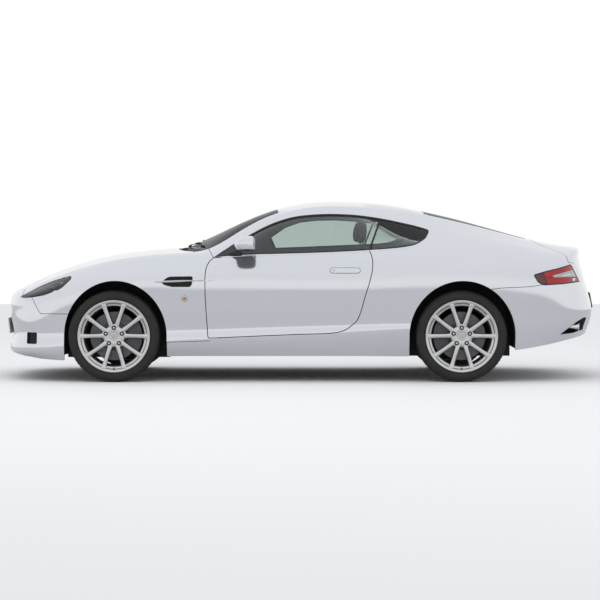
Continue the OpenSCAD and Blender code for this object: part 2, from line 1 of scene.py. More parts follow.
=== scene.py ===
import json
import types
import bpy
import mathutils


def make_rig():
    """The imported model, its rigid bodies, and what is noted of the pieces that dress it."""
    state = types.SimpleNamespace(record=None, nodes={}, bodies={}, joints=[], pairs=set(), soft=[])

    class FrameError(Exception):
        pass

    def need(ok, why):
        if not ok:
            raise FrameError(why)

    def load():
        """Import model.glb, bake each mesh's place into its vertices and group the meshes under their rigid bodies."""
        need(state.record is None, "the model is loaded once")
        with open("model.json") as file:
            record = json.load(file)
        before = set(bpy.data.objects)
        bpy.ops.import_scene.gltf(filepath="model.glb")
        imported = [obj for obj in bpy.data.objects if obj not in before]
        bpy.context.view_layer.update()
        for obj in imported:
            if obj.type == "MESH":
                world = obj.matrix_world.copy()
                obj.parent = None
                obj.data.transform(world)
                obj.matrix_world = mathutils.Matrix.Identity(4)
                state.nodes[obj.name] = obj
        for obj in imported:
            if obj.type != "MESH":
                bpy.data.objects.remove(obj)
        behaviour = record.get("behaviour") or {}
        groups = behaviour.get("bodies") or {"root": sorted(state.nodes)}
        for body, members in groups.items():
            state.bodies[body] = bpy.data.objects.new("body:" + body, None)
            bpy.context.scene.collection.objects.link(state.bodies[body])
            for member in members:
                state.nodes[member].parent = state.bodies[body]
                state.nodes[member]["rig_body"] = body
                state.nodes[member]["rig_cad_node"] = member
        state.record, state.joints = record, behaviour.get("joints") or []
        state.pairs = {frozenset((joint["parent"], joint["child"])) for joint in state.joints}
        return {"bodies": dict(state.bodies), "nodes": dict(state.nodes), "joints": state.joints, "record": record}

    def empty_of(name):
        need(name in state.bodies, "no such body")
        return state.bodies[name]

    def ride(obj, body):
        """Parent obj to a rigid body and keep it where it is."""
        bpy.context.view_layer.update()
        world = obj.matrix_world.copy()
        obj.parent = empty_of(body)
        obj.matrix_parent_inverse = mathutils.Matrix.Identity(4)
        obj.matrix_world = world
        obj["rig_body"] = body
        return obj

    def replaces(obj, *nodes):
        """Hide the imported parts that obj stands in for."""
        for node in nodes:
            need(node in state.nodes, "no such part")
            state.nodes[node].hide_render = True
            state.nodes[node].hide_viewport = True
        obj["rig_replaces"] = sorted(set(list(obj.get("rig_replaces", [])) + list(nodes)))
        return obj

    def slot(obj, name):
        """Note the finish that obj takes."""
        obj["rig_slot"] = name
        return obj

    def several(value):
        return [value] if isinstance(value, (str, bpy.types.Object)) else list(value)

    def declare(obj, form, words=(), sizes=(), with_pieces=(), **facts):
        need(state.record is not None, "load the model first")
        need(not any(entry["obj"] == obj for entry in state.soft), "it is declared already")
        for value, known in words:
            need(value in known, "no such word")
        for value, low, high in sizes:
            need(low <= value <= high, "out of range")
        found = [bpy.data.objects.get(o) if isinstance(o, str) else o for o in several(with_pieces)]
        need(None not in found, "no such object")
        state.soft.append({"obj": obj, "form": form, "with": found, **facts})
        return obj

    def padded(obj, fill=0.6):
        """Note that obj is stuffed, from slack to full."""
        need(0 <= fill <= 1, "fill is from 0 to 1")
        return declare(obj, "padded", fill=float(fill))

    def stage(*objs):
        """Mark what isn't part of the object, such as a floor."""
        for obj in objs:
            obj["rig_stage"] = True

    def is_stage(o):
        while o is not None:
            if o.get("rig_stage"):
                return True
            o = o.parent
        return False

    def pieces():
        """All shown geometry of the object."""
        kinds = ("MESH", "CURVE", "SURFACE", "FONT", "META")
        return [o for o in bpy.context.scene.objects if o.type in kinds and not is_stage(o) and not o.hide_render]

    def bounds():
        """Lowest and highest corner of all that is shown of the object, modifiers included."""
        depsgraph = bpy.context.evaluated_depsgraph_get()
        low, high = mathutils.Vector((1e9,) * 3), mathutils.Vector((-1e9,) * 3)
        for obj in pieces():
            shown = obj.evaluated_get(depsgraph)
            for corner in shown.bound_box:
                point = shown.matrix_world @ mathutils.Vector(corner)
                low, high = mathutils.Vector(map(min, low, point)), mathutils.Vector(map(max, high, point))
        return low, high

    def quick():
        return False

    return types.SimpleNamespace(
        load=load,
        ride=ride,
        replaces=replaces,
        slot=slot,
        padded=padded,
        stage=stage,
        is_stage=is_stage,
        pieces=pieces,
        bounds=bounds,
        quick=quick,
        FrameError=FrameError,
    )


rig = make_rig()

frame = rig.load()
import bpy, bmesh, math, json
import numpy as np
from mathutils import Vector, Matrix
from mathutils.bvhtree import BVHTree

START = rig.bounds()
sc = bpy.context.scene

# ------------------------------------------------------------------ body surface (same rows as the CAD, mm)
ROWS = [
  # bottom edge
  [[2200,0,190],[2185,315,188],[2120,570,182],[2030,720,176],[1935,795,170],[1715,856,162],[1400,868,175],[1100,860,190],
   [860,852,195],[620,848,195],[330,845,195],[0,844,195],[-340,846,195],[-660,853,194],[-950,864,194],[-1220,882,205],
   [-1500,875,226],[-1760,838,260],[-1950,765,295],[-2085,655,322],[-2180,500,340],[-2225,290,352],[-2240,0,356]],
  # lower crease
  [[2268,0,225],[2250,335,226],[2185,600,232],[2075,765,240],[1950,838,250],[1720,892,262],[1400,905,285],[1100,896,300],
   [860,892,310],[620,889,322],[330,887,336],[0,887,348],[-340,890,362],[-660,902,374],[-950,914,380],[-1220,922,383],
   [-1500,910,386],[-1760,872,395],[-1960,806,408],[-2105,692,420],[-2205,525,428],[-2252,300,432],[-2266,0,434]],
  # lower side
  [[2248,0,335],[2230,320,335],[2172,575,338],[2070,745,342],[1950,820,348],[1720,884,358],[1400,906,375],[1100,888,385],
   [860,880,388],[620,876,395],[330,874,405],[0,875,415],[-340,882,426],[-660,898,436],[-950,915,442],[-1220,928,445],
   [-1500,916,447],[-1760,880,452],[-1965,815,460],[-2118,704,468],[-2216,536,474],[-2264,305,478],[-2278,0,480]],
  # middle of the side
  [[2262,0,430],[2243,310,432],[2183,560,436],[2078,738,442],[1950,826,450],[1720,890,480],[1400,915,520],[1100,903,535],
   [860,896,540],[620,893,545],[330,891,550],[0,891,555],[-340,896,560],[-660,909,565],[-950,925,568],[-1220,935,568],
   [-1500,922,562],[-1760,886,555],[-1970,820,552],[-2124,710,552],[-2220,540,555],[-2267,308,558],[-2282,0,560]],
  # waist
  [[2266,0,520],[2248,300,522],[2190,545,530],[2085,722,545],[1950,820,570],[1720,893,640],[1400,925,700],[1100,915,725],
   [860,906,735],[620,902,740],[330,900,744],[0,900,746],[-340,904,748],[-660,917,752],[-950,932,755],[-1220,940,750],
   [-1500,928,732],[-1760,890,702],[-1962,820,680],[-2100,702,676],[-2190,532,680],[-2236,302,686],[-2250,0,690]],
  # shoulder
  [[2270,0,580],[2252,285,590],[2195,520,605],[2095,690,630],[1950,780,665],[1720,850,740],[1400,892,805],[1100,890,828],
   [860,880,838],[620,876,845],[330,873,852],[0,872,859],[-340,876,867],[-660,890,876],[-950,904,884],[-1220,910,886],
   [-1500,896,880],[-1760,858,866],[-1960,788,855],[-2070,670,858],[-2142,505,868],[-2180,290,878],[-2192,0,882]],
  # belt crest
  [[2268,0,618],[2252,235,628],[2198,425,645],[2110,560,668],[1950,660,718],[1720,745,806],[1400,800,885],[1100,812,912],
   [860,818,930],[620,812,944],[330,812,966],[0,812,979],[-340,816,992],[-660,822,1010],[-950,820,1025],[-1220,814,1026],
   [-1500,798,1008],[-1760,760,975],[-1960,700,948],[-2062,612,938],[-2130,475,942],[-2172,280,950],[-2186,0,954]],
  # top of the side glass
  [[2250,0,650],[2238,190,655],[2190,350,668],[2105,470,690],[1955,560,748],[1720,645,838],[1400,705,918],[1100,735,950],
   [860,748,968],[620,738,998],[330,702,1130],[0,640,1245],[-340,622,1265],[-660,635,1228],[-950,672,1165],[-1220,675,1120],
   [-1500,658,1075],[-1760,628,1022],[-1960,590,985],[-2062,535,975],[-2128,435,983],[-2172,265,993],[-2187,0,998]],
  # seam to the top panels
  [[2215,0,678],[2203,160,680],[2160,290,690],[2080,385,715],[1950,455,765],[1720,540,845],[1400,610,925],[1100,645,962],
   [860,662,977],[620,655,1030],[330,598,1203],[0,545,1307],[-340,530,1327],[-660,528,1305],[-950,520,1259],[-1220,508,1199],
   [-1500,500,1127],[-1760,495,1055],[-1960,470,1013],[-2045,430,1003],[-2105,355,1003],[-2148,215,1008],[-2163,0,1012]],

]
MID_F = [[2215,678],[2208,683],[2180,698],[2105,735],[1950,801],[1720,884],[1400,958],[1100,992],[860,1004],[620,1004]]
MID_R = [[1100,905],[860,1016],[620,1126],[330,1255],[0,1349],[-340,1367],[-660,1345],[-950,1292],[-1220,1229],[-1500,1152],[-1760,1081],[-1960,1038],[-2045,1024],[-2105,1017],[-2148,1014],[-2163,1013]]

def pad_line(c):
    return np.concatenate([2 * c[0:1] - c[1:2], c, 2 * c[-1:] - c[-2:-1]], 0)

def pad_flip(c):
    m = np.array([1.0, -1.0, 1.0])
    return np.concatenate([c[1:2] * m, c, c[-2:-1] * m], 0)

def knots(a, pad):
    c = a.copy()
    for _ in range(10):
        p = pad(c)
        c = c + a - (p[:-2] + 4 * p[1:-1] + p[2:]) / 6
    return c

def b4(t):
    return np.stack([(1 - t) ** 3, 3 * t ** 3 - 6 * t ** 2 + 4, -3 * t ** 3 + 3 * t ** 2 + 3 * t + 1, t ** 3]) / 6

_r = np.array(ROWS, float)
_k = knots(np.stack([knots(r, pad_flip) for r in _r]), pad_line)
NET = pad_line(np.stack([pad_flip(r) for r in _k]))
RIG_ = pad_line(knots(np.array(MID_F, float), pad_line))
RK_ = pad_line(knots(np.array(MID_R, float), pad_line))

def side_at(u, v):
    u, v = np.broadcast_arrays(np.asarray(u, float), np.asarray(v, float))
    i = np.clip(np.floor(u).astype(int), 0, 21)
    j = np.clip(np.floor(v).astype(int), 0, 7)
    a, b = b4(u - i), b4(v - j)
    out = np.zeros(u.shape + (3,))
    for q in range(4):
        for p in range(4):
            out += (b[q] * a[p])[..., None] * NET[j + q, i + p]
    return out

def mid_at(k, n, u):
    w = np.clip(u, 0, n)
    i = np.clip(np.floor(w).astype(int), 0, n - 1)
    b = b4(w - i)
    return sum(b[q][..., None] * k[i + q] for q in range(4))

def smooth_max(a, b, k):
    h = np.clip(0.5 + 0.5 * (a - b) / k, 0, 1)
    return b + (a - b) * h + k * h * (1 - h)

def top_at(u, s):
    u, s = np.broadcast_arrays(np.asarray(u, float), np.asarray(s, float))
    p = side_at(u, np.full(u.shape, 8.0)); q = side_at(u, np.full(u.shape, 7.95))
    f = mid_at(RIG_, 9, u); g = mid_at(RK_, 15, u - 7)
    xm = np.where(u < 8, f[..., 0], g[..., 0])
    zm = np.where(u >= 9, g[..., 1], np.where(u <= 7, f[..., 1], smooth_max(f[..., 1], g[..., 1], 10.0)))
    rise = np.maximum(zm - p[..., 2], 0.001)
    slope = (p[..., 2] - q[..., 2]) / np.maximum(0.01, q[..., 1] - p[..., 1])
    e = np.where(p[..., 1] < 1, 2.0, np.clip(slope * p[..., 1] / rise, 1.6, 4.0))
    return np.stack([p[..., 0] + (xm - p[..., 0]) * s, p[..., 1] * (1 - s), zm - rise * (1 - s) ** e], -1)

def grid_at(us, vs, ss):
    U, V = np.meshgrid(us, vs)
    S = side_at(U, V)
    U2, T = np.meshgrid(us, ss)
    return np.concatenate([S, top_at(U2, T)], 0)          # rows x cols x 3

def grid_normals(G, seam):
    up = np.concatenate([G[:1], G[:-1]], 0); dn = np.concatenate([G[1:], G[-2:-1] * np.array([1, -1, 1])], 0)
    lf = np.concatenate([G[:, 1:2] * np.array([1, -1, 1]), G[:, :-1]], 1)
    rt = np.concatenate([G[:, 1:], G[:, -2:-1] * np.array([1, -1, 1])], 1)
    N = np.cross(rt - lf, dn - up)
    L = np.linalg.norm(N, axis=2, keepdims=True)
    N = N / np.maximum(L, 1e-9)
    N[seam:, 0] = [0.5, 0, 0.866]; N[seam:, -1] = [-0.6, 0, 0.8]
    return N

def body_mesh(G, N, seam, d, drop):
    """closed body moved in by d (mm); returns verts in metres and faces"""
    K, M = G.shape[:2]
    P = G - d * N
    P[0, :, 2] -= drop
    V = P.transpose(1, 0, 2).reshape(-1, 3)
    Vr = V * np.array([1, -1, 1])
    def lid(i, k):
        return i * K + (min(k, seam) if i in (0, M - 1) else k)
    def rid(i, k):
        return lid(i, k) if (i in (0, M - 1) or k == K - 1) else M * K + i * K + k
    F = []
    def add(f):
        g = []
        for x in f:
            if x not in g: g.append(x)
        if len(g) > 2: F.append(g)
    for i in range(M - 1):
        for k in range(K - 1):
            add([lid(i, k), lid(i + 1, k), lid(i + 1, k + 1), lid(i, k + 1)])
            add([rid(i, k), rid(i, k + 1), rid(i + 1, k + 1), rid(i + 1, k)])
        add([lid(i, 0), rid(i, 0), rid(i + 1, 0), lid(i + 1, 0)])
    A = np.concatenate([V, Vr]) / 1000.0
    used = sorted({x for f in F for x in f}); re_ = {x: n for n, x in enumerate(used)}
    return A[used], [[re_[x] for x in f] for f in F]

def new_obj(name, V, F, mat=None):
    me = bpy.data.meshes.new(name)
    me.from_pydata([tuple(v) for v in V], [], F)
    me.update()
    o = bpy.data.objects.new(name, me)
    sc.collection.objects.link(o)
    if mat: me.materials.append(mat)
    return o

u_f = np.concatenate([np.arange(0, 22, 0.1), [22.0]])
v_f = np.arange(0, 8.0001, 0.1); s_f = np.linspace(0, 1, 13)[1:]
GF = grid_at(u_f, v_f, s_f); SEAM_F = len(v_f) - 1
NF = grid_normals(GF, SEAM_F)
u_c = np.concatenate([np.arange(0, 4.6, 0.5), np.arange(5, 17.1, 0.5), np.arange(17.5, 20, 0.5), [20, 21, 22]])
v_c = np.arange(0, 8.01, 0.5); s_c = np.array([0.25, 0.5, 0.75, 1])
GC = grid_at(u_c, v_c, s_c); SEAM_C = len(v_c) - 1
NC = grid_normals(GC, SEAM_C)
_of = body_mesh(GF, NF, SEAM_F, 0, 0)

# nearest smooth normal of the outer skin, for clean highlights after the panels are cut
_K, _M = GF.shape[:2]
_V = GF.reshape(-1, 3) / 1000.0
_Q = [(k * _M + i, k * _M + i + 1, (k + 1) * _M + i + 1, (k + 1) * _M + i) for k in range(_K - 1) for i in range(_M - 1)]
SKIN = BVHTree.FromPolygons([tuple(v) for v in _V], _Q)
_Nf = NF.reshape(-1, 3)

def skin_normal(p):
    """outer normal and distance at a point given in metres, either side of the car"""
    sy = -1.0 if p[1] < 0 else 1.0
    q = Vector((p[0], abs(p[1]), p[2]))
    loc, n, idx, dist = SKIN.find_nearest(q)
    a, b, c, d = _Q[idx]
    w = np.array([1.0 / (1e-6 + (Vector(_V[x]) - loc).length ** 2) for x in (a, b, c, d)])
    # bilinear weights inside the quad
    A, B, D = _V[a], _V[b], _V[d]
    e1, e2 = B - A, D - A
    r = np.array(loc) - A
    m11, m12, m22 = e1 @ e1, e1 @ e2, e2 @ e2
    det = m11 * m22 - m12 * m12
    if det > 1e-16:
        s = ((r @ e1) * m22 - (r @ e2) * m12) / det; t = ((r @ e2) * m11 - (r @ e1) * m12) / det
        s, t = min(1, max(0, s)), min(1, max(0, t))
        N = (1 - s) * (1 - t) * _Nf[a] + s * (1 - t) * _Nf[b] + s * t * _Nf[c] + (1 - s) * t * _Nf[d]
    else:
        N = sum(w[i] * _Nf[x] for i, x in enumerate((a, b, c, d)))
    L = np.linalg.norm(N)
    if L < 1e-6: return Vector((0, 0, 1)), dist
    N = N / L
    return Vector((N[0], N[1] * sy, N[2])), dist

# ------------------------------------------------------------------ cutting tools
def tmp(V, F):
    return new_obj("cut", V, F)

def body(d, drop=0, fine=None):
    fine = (d <= 0.01) if fine is None else fine
    if fine and d == 0: V, F = _of
    elif fine: V, F = body_mesh(GF, NF, SEAM_F, d, drop)
    else: V, F = body_mesh(GC, NC, SEAM_C, d, drop)
    return tmp(V, F)

def boolean(a, b, op, keep=False):
    m = a.modifiers.new("b", "BOOLEAN"); m.operation = op; m.object = b; m.solver = "MANIFOLD"
    dg = bpy.context.evaluated_depsgraph_get()
    me = bpy.data.meshes.new_from_object(a.evaluated_get(dg))
    a.modifiers.clear()
    old = a.data; a.data = me; bpy.data.meshes.remove(old)
    if not keep: remove(b)
    return a

def remove(o):
    me = o.data; bpy.data.objects.remove(o)
    if me and me.users == 0: bpy.data.meshes.remove(me)

def cut(a, b): return boolean(a, b, "DIFFERENCE")
def common(a, b): return boolean(a, b, "INTERSECT")
def join_solid(a, b): return boolean(a, b, "UNION")

def wall(a, b, fine=True):
    o = body(a, 0, fine)
    return cut(o, body(b, 80, fine and b < 12))

def area2(P):
    return sum(P[i][0] * P[(i + 1) % len(P)][1] - P[(i + 1) % len(P)][0] * P[i][1] for i in range(len(P)))

def offset_poly(P, d):
    """parallel outline, out by d"""
    P = [tuple(p) for p in P]
    if abs(d) < 1e-9: return P
    if area2(P) < 0: P = P[::-1]
    n = len(P); R = []
    for i in range(n):
        a, b, c = np.array(P[i - 1]), np.array(P[i]), np.array(P[(i + 1) % n])
        e, f = b - a, c - b
        e = e / np.linalg.norm(e); f = f / np.linalg.norm(f)
        ne, nf = np.array([e[1], -e[0]]), np.array([f[1], -f[0]])
        k = 1 + ne @ nf
        R.append(tuple(b + (ne + nf) * d / max(k, 0.35)))
    return R

def round_poly(P, r, n=5):
    """outline with its corners rounded by up to r"""
    P = [np.array(p, float) for p in P]; out = []
    m = len(P)
    for i in range(m):
        a, b, c = P[i - 1], P[i], P[(i + 1) % m]
        la, lc = np.linalg.norm(a - b), np.linalg.norm(c - b)
        t = min(r, la * 0.48, lc * 0.48)
        p, q = b + (a - b) / la * t, b + (c - b) / lc * t
        for k in range(n + 1):
            w = k / n
            out.append(tuple((1 - w) ** 2 * p + 2 * w * (1 - w) * b + w * w * q))
    return out

def curve_poly(P, n=8):
    """closed smooth curve through the points"""
    P = np.array(P, float); m = len(P); out = []
    for i in range(m):
        a, b, c, d = P[i - 1], P[i], P[(i + 1) % m], P[(i + 2) % m]
        for k in range(n):
            t = k / n
            out.append(tuple(0.5 * ((2 * b) + (c - a) * t + (2 * a - 5 * b + 4 * c - d) * t * t + (3 * b - a - 3 * c + d) * t ** 3)))
    return out

def prism(P, lo, hi, axis):
    """outline in mm; axis 'y': (x,z) from y lo to hi; 'z': (x,y); 'x': (y,z)"""
    P = [tuple(p) for p in P]
    if area2(P) < 0: P = P[::-1]
    n = len(P)
    def at(p, h):
        return {'y': (p[0], h, p[1]), 'z': (p[0], p[1], h), 'x': (h, p[0], p[1])}[axis]
    V = [np.array(at(p, lo)) / 1000 for p in P] + [np.array(at(p, hi)) / 1000 for p in P]
    F = [list(range(n - 1, -1, -1)), list(range(n, 2 * n))] + [[i, (i + 1) % n, n + (i + 1) % n, n + i] for i in range(n)]
    if axis == 'y': F = [f[::-1] for f in F]
    return tmp(V, F)

def mirrored(o, name=None):
    me = o.data.copy()
    b = bmesh.new(); b.from_mesh(me)
    for v in b.verts: v.co.y = -v.co.y
    bmesh.ops.reverse_faces(b, faces=b.faces[:])
    b.to_mesh(me); b.free()
    q = bpy.data.objects.new(name or o.name + "_m", me); sc.collection.objects.link(q)
    return q

def joined(name, objs):
    """one object from several meshes, keeping materials"""
    b = bmesh.new(); mats = []
    for o in objs:
        me = o.data
        base = len(b.faces)
        b.from_mesh(me)
        b.faces.ensure_lookup_table()
        remap = []
        for m in me.materials:
            if m not in mats: mats.append(m)
            remap.append(mats.index(m))
        if remap:
            for f in b.faces[base:]:
                f.material_index = remap[min(f.material_index, len(remap) - 1)]
    me = bpy.data.meshes.new(name); b.to_mesh(me); b.free()
    for m in mats: me.materials.append(m)
    for o in objs: remove(o)
    q = bpy.data.objects.new(name, me); sc.collection.objects.link(q)
    return q

def clean(o, tol=0.00002):
    b = bmesh.new(); b.from_mesh(o.data)
    bmesh.ops.remove_doubles(b, verts=b.verts[:], dist=tol)
    bmesh.ops.dissolve_degenerate(b, dist=tol, edges=b.edges[:])
    b.to_mesh(o.data); b.free()
    return o

def shade(o, angle=35, skin=False, depth=0.0006):
    """smooth shading with hard edges kept; on skin panels the outer faces take the body's own normals"""
    me = o.data
    me.polygons.foreach_set("use_smooth", [True] * len(me.polygons))
    b = bmesh.new(); b.from_mesh(me)
    for e in b.edges:
        if len(e.link_faces) == 2: e.smooth = e.calc_face_angle(0) < math.radians(angle)
    b.to_mesh(me); b.free()
    if skin:
        me.update()
        nl = np.zeros(len(me.loops) * 3); me.corner_normals.foreach_get("vector", nl); nl = nl.reshape(-1, 3)
        cache = {}
        for p in me.polygons:
            fn = p.normal
            for li in p.loop_indices:
                vi = me.loops[li].vertex_index
                if vi not in cache:
                    cache[vi] = skin_normal(me.vertices[vi].co)
                n, d = cache[vi]
                if d < depth and fn.dot(n) > 0.7: nl[li] = n
        me.normals_split_custom_set([tuple(x) for x in nl])
    return o

# ------------------------------------------------------------------ materials
def mat(name, col, rough=0.5, metal=0.0, var=0.08, vscale=3.0, bump=0.0, bscale=200.0, rvar=0.0, coat=0.0, coat_r=0.03, spec=0.5, ior=1.45,
        emit=None, emit_s=0.0, col2=None, bdist=0.001, sheen=0.0, bkind="noise", detail=4.0):
    """principled surface with colour and roughness from noise in object space, and a fine bump"""
    m = bpy.data.materials.new(name); m.use_nodes = True
    nt = m.node_tree; nd = nt.nodes; ln = nt.links
    p = nd["Principled BSDF"]
    p.inputs["Metallic"].default_value = metal
    p.inputs["Roughness"].default_value = rough
    p.inputs["IOR"].default_value = ior
    p.inputs["Specular IOR Level"].default_value = spec
    p.inputs["Coat Weight"].default_value = coat
    p.inputs["Coat Roughness"].default_value = coat_r
    if sheen: p.inputs["Sheen Weight"].default_value = sheen
    tc = nd.new("ShaderNodeTexCoord")
    n1 = nd.new("ShaderNodeTexNoise"); n1.inputs["Scale"].default_value = vscale; n1.inputs["Detail"].default_value = detail
    ln.new(tc.outputs["Object"], n1.inputs["Vector"])
    cr = nd.new("ShaderNodeValToRGB")
    c = np.array(col[:3], float)
    lo = c * (1 - var) if col2 is None else np.array(col2, float)
    hi = np.minimum(1, c * (1 + var)) if col2 is None else c
    cr.color_ramp.elements[0].position = 0.3; cr.color_ramp.elements[1].position = 0.7
    cr.color_ramp.elements[0].color = (*lo, 1); cr.color_ramp.elements[1].color = (*hi, 1)
    ln.new(n1.outputs["Fac"], cr.inputs["Fac"]); ln.new(cr.outputs["Color"], p.inputs["Base Color"])
    if rvar:
        mr = nd.new("ShaderNodeMapRange"); mr.inputs["To Min"].default_value = max(0.0, rough - rvar); mr.inputs["To Max"].default_value = min(1.0, rough + rvar)
        n3 = nd.new("ShaderNodeTexNoise"); n3.inputs["Scale"].default_value = vscale * 4; n3.inputs["Detail"].default_value = 6
        ln.new(tc.outputs["Object"], n3.inputs["Vector"]); ln.new(n3.outputs["Fac"], mr.inputs["Value"]); ln.new(mr.outputs["Result"], p.inputs["Roughness"])
    if bump:
        if bkind == "cells":
            n2 = nd.new("ShaderNodeTexVoronoi"); n2.feature = "F1"; n2.inputs["Scale"].default_value = bscale; out = n2.outputs["Distance"]
        else:
            n2 = nd.new("ShaderNodeTexNoise"); n2.inputs["Scale"].default_value = bscale; n2.inputs["Detail"].default_value = 3; out = n2.outputs["Fac"]
        ln.new(tc.outputs["Object"], n2.inputs["Vector"])
        bp = nd.new("ShaderNodeBump"); bp.inputs["Strength"].default_value = bump; bp.inputs["Distance"].default_value = bdist
        ln.new(out, bp.inputs["Height"]); ln.new(bp.outputs["Normal"], p.inputs["Normal"])
    if emit_s:
        p.inputs["Emission Color"].default_value = (*emit, 1); p.inputs["Emission Strength"].default_value = emit_s
    return m

def glass_mat(name, tint, rough=0.0, ior=1.5, gloss=1.0):
    """thin clear sheet: tinted see-through with a mirror-like reflection that grows at the edges"""
    m = bpy.data.materials.new(name); m.use_nodes = True
    nt = m.node_tree; nd = nt.nodes; ln = nt.links
    nd.remove(nd["Principled BSDF"]); out = nd["Material Output"]
    tr = nd.new("ShaderNodeBsdfTransparent"); gl = nd.new("ShaderNodeBsdfGlossy"); mx = nd.new("ShaderNodeMixShader"); fr = nd.new("ShaderNodeFresnel")
    gl.inputs["Roughness"].default_value = rough
    gl.inputs["Color"].default_value = (gloss, gloss, gloss, 1)
    fr.inputs["IOR"].default_value = ior
    tc = nd.new("ShaderNodeTexCoord"); n1 = nd.new("ShaderNodeTexNoise"); n1.inputs["Scale"].default_value = 1.5
    cr = nd.new("ShaderNodeValToRGB"); t = np.array(tint)
    cr.color_ramp.elements[0].color = (*(t * 0.985), 1); cr.color_ramp.elements[1].color = (*np.minimum(1, t * 1.015), 1)
    ln.new(tc.outputs["Object"], n1.inputs["Vector"]); ln.new(n1.outputs["Fac"], cr.inputs["Fac"]); ln.new(cr.outputs["Color"], tr.inputs["Color"])
    ln.new(fr.outputs["Fac"], mx.inputs["Fac"]); ln.new(tr.outputs["BSDF"], mx.inputs[1]); ln.new(gl.outputs["BSDF"], mx.inputs[2])
    ln.new(mx.outputs["Shader"], out.inputs["Surface"])
    return m

def paint_mat(name="paint"):
    """silver metallic: fine flakes under a clear coat"""
    m = bpy.data.materials.new(name); m.use_nodes = True
    nt = m.node_tree; nd = nt.nodes; ln = nt.links
    p = nd["Principled BSDF"]
    p.inputs["Metallic"].default_value = 0.85
    p.inputs["Coat Weight"].default_value = 1.0
    p.inputs["Coat Roughness"].default_value = 0.02
    p.inputs["Specular IOR Level"].default_value = 0.5
    tc = nd.new("ShaderNodeTexCoord")
    fl = nd.new("ShaderNodeTexVoronoi"); fl.inputs["Scale"].default_value = 900.0
    ln.new(tc.outputs["Object"], fl.inputs["Vector"])
    cr = nd.new("ShaderNodeValToRGB"); cr.color_ramp.elements[0].position = 0.0; cr.color_ramp.elements[1].position = 1.0
    cr.color_ramp.elements[0].color = (0.72, 0.737, 0.765, 1); cr.color_ramp.elements[1].color = (0.815, 0.832, 0.865, 1)
    ln.new(fl.outputs["Color"], cr.inputs["Fac"])
    big = nd.new("ShaderNodeTexNoise"); big.inputs["Scale"].default_value = 1.2; big.inputs["Detail"].default_value = 2
    ln.new(tc.outputs["Object"], big.inputs["Vector"])
    mx = nd.new("ShaderNodeMix"); mx.data_type = "RGBA"; mx.blend_type = "MULTIPLY"
    cr2 = nd.new("ShaderNodeValToRGB"); cr2.color_ramp.elements[0].color = (0.975, 0.978, 0.985, 1); cr2.color_ramp.elements[1].color = (1, 1, 1, 1)
    ln.new(big.outputs["Fac"], cr2.inputs["Fac"])
    mx.inputs["Factor"].default_value = 1.0
    ln.new(cr.outputs["Color"], mx.inputs["A"]); ln.new(cr2.outputs["Color"], mx.inputs["B"])
    ln.new(mx.outputs["Result"], p.inputs["Base Color"])
    rg = nd.new("ShaderNodeMapRange"); rg.inputs["To Min"].default_value = 0.10; rg.inputs["To Max"].default_value = 0.13
    ln.new(big.outputs["Fac"], rg.inputs["Value"]); ln.new(rg.outputs["Result"], p.inputs["Roughness"])
    bp = nd.new("ShaderNodeBump"); bp.inputs["Strength"].default_value = 0.05; bp.inputs["Distance"].default_value = 0.0004
    ln.new(fl.outputs["Distance"], bp.inputs["Height"]); ln.new(bp.outputs["Normal"], p.inputs["Normal"])
    return m

M = {}
M["paint"] = paint_mat()
M["glass"] = glass_mat("window_glass", (0.79, 0.835, 0.82))
M["wglass"] = glass_mat("windscreen_glass", (0.52, 0.58, 0.565), gloss=0.5)
M["lens"] = glass_mat("lamp_cover", (0.90, 0.92, 0.93))
M["black"] = mat("black_moulding", (0.018, 0.018, 0.019), 0.55, bump=0.25, bscale=900, rvar=0.08)
M["gloss_black"] = mat("gloss_black", (0.012, 0.012, 0.013), 0.12, coat=0.6, bump=0.03, bscale=60)
M["seal"] = mat("rubber_seal", (0.022, 0.022, 0.023), 0.7, bump=0.2, bscale=600)
M["under"] = mat("underbody_panel", (0.035, 0.035, 0.037), 0.8, bump=0.4, bscale=300, rvar=0.1)
M["chrome"] = mat("chrome_trim", (0.83, 0.84, 0.85), 0.07, metal=1.0, var=0.02, bump=0.02, bscale=80)
M["satin_metal"] = mat("satin_metal", (0.62, 0.63, 0.65), 0.28, metal=1.0, var=0.04, bump=0.05, bscale=400)
M["rim"] = mat("rim_silver", (0.66, 0.66, 0.655), 0.27, metal=0.85, var=0.03, vscale=8, coat=0.5, coat_r=0.06, bump=0.03, bscale=1200)
M["disc"] = mat("brake_steel", (0.125, 0.125, 0.13), 0.42, metal=1.0, var=0.12, vscale=30, rvar=0.08, bump=0.12, bscale=250)
M["cast"] = mat("cast_metal", (0.10, 0.10, 0.105), 0.6, metal=0.6, bump=0.5, bscale=180, bdist=0.002)
M["caliper"] = mat("caliper_paint", (0.05, 0.05, 0.055), 0.38, metal=0.2, bump=0.2, bscale=300)
M["tyre"] = mat("tyre_rubber", (0.022, 0.022, 0.021), 0.72, var=0.15, vscale=12, bump=0.3, bscale=700, rvar=0.08)
M["leather"] = mat("seat_leather", (0.020, 0.020, 0.022), 0.45, bump=0.35, bscale=260, bkind="cells", bdist=0.0008, rvar=0.06)
M["trim_leather"] = mat("trim_leather", (0.028, 0.027, 0.028), 0.5, bump=0.3, bscale=300, bkind="cells", bdist=0.0006)
M["carpet"] = mat("carpet", (0.02, 0.02, 0.021), 0.95, bump=0.8, bscale=900, bdist=0.003, sheen=0.2)
M["lamp_in"] = mat("lamp_inner", (0.20, 0.205, 0.215), 0.22, metal=0.7, var=0.3, vscale=20, bump=0.05, bscale=100)
M["reflector"] = mat("lamp_reflector", (0.85, 0.86, 0.88), 0.08, metal=1.0, var=0.05, bump=0.05, bscale=50)
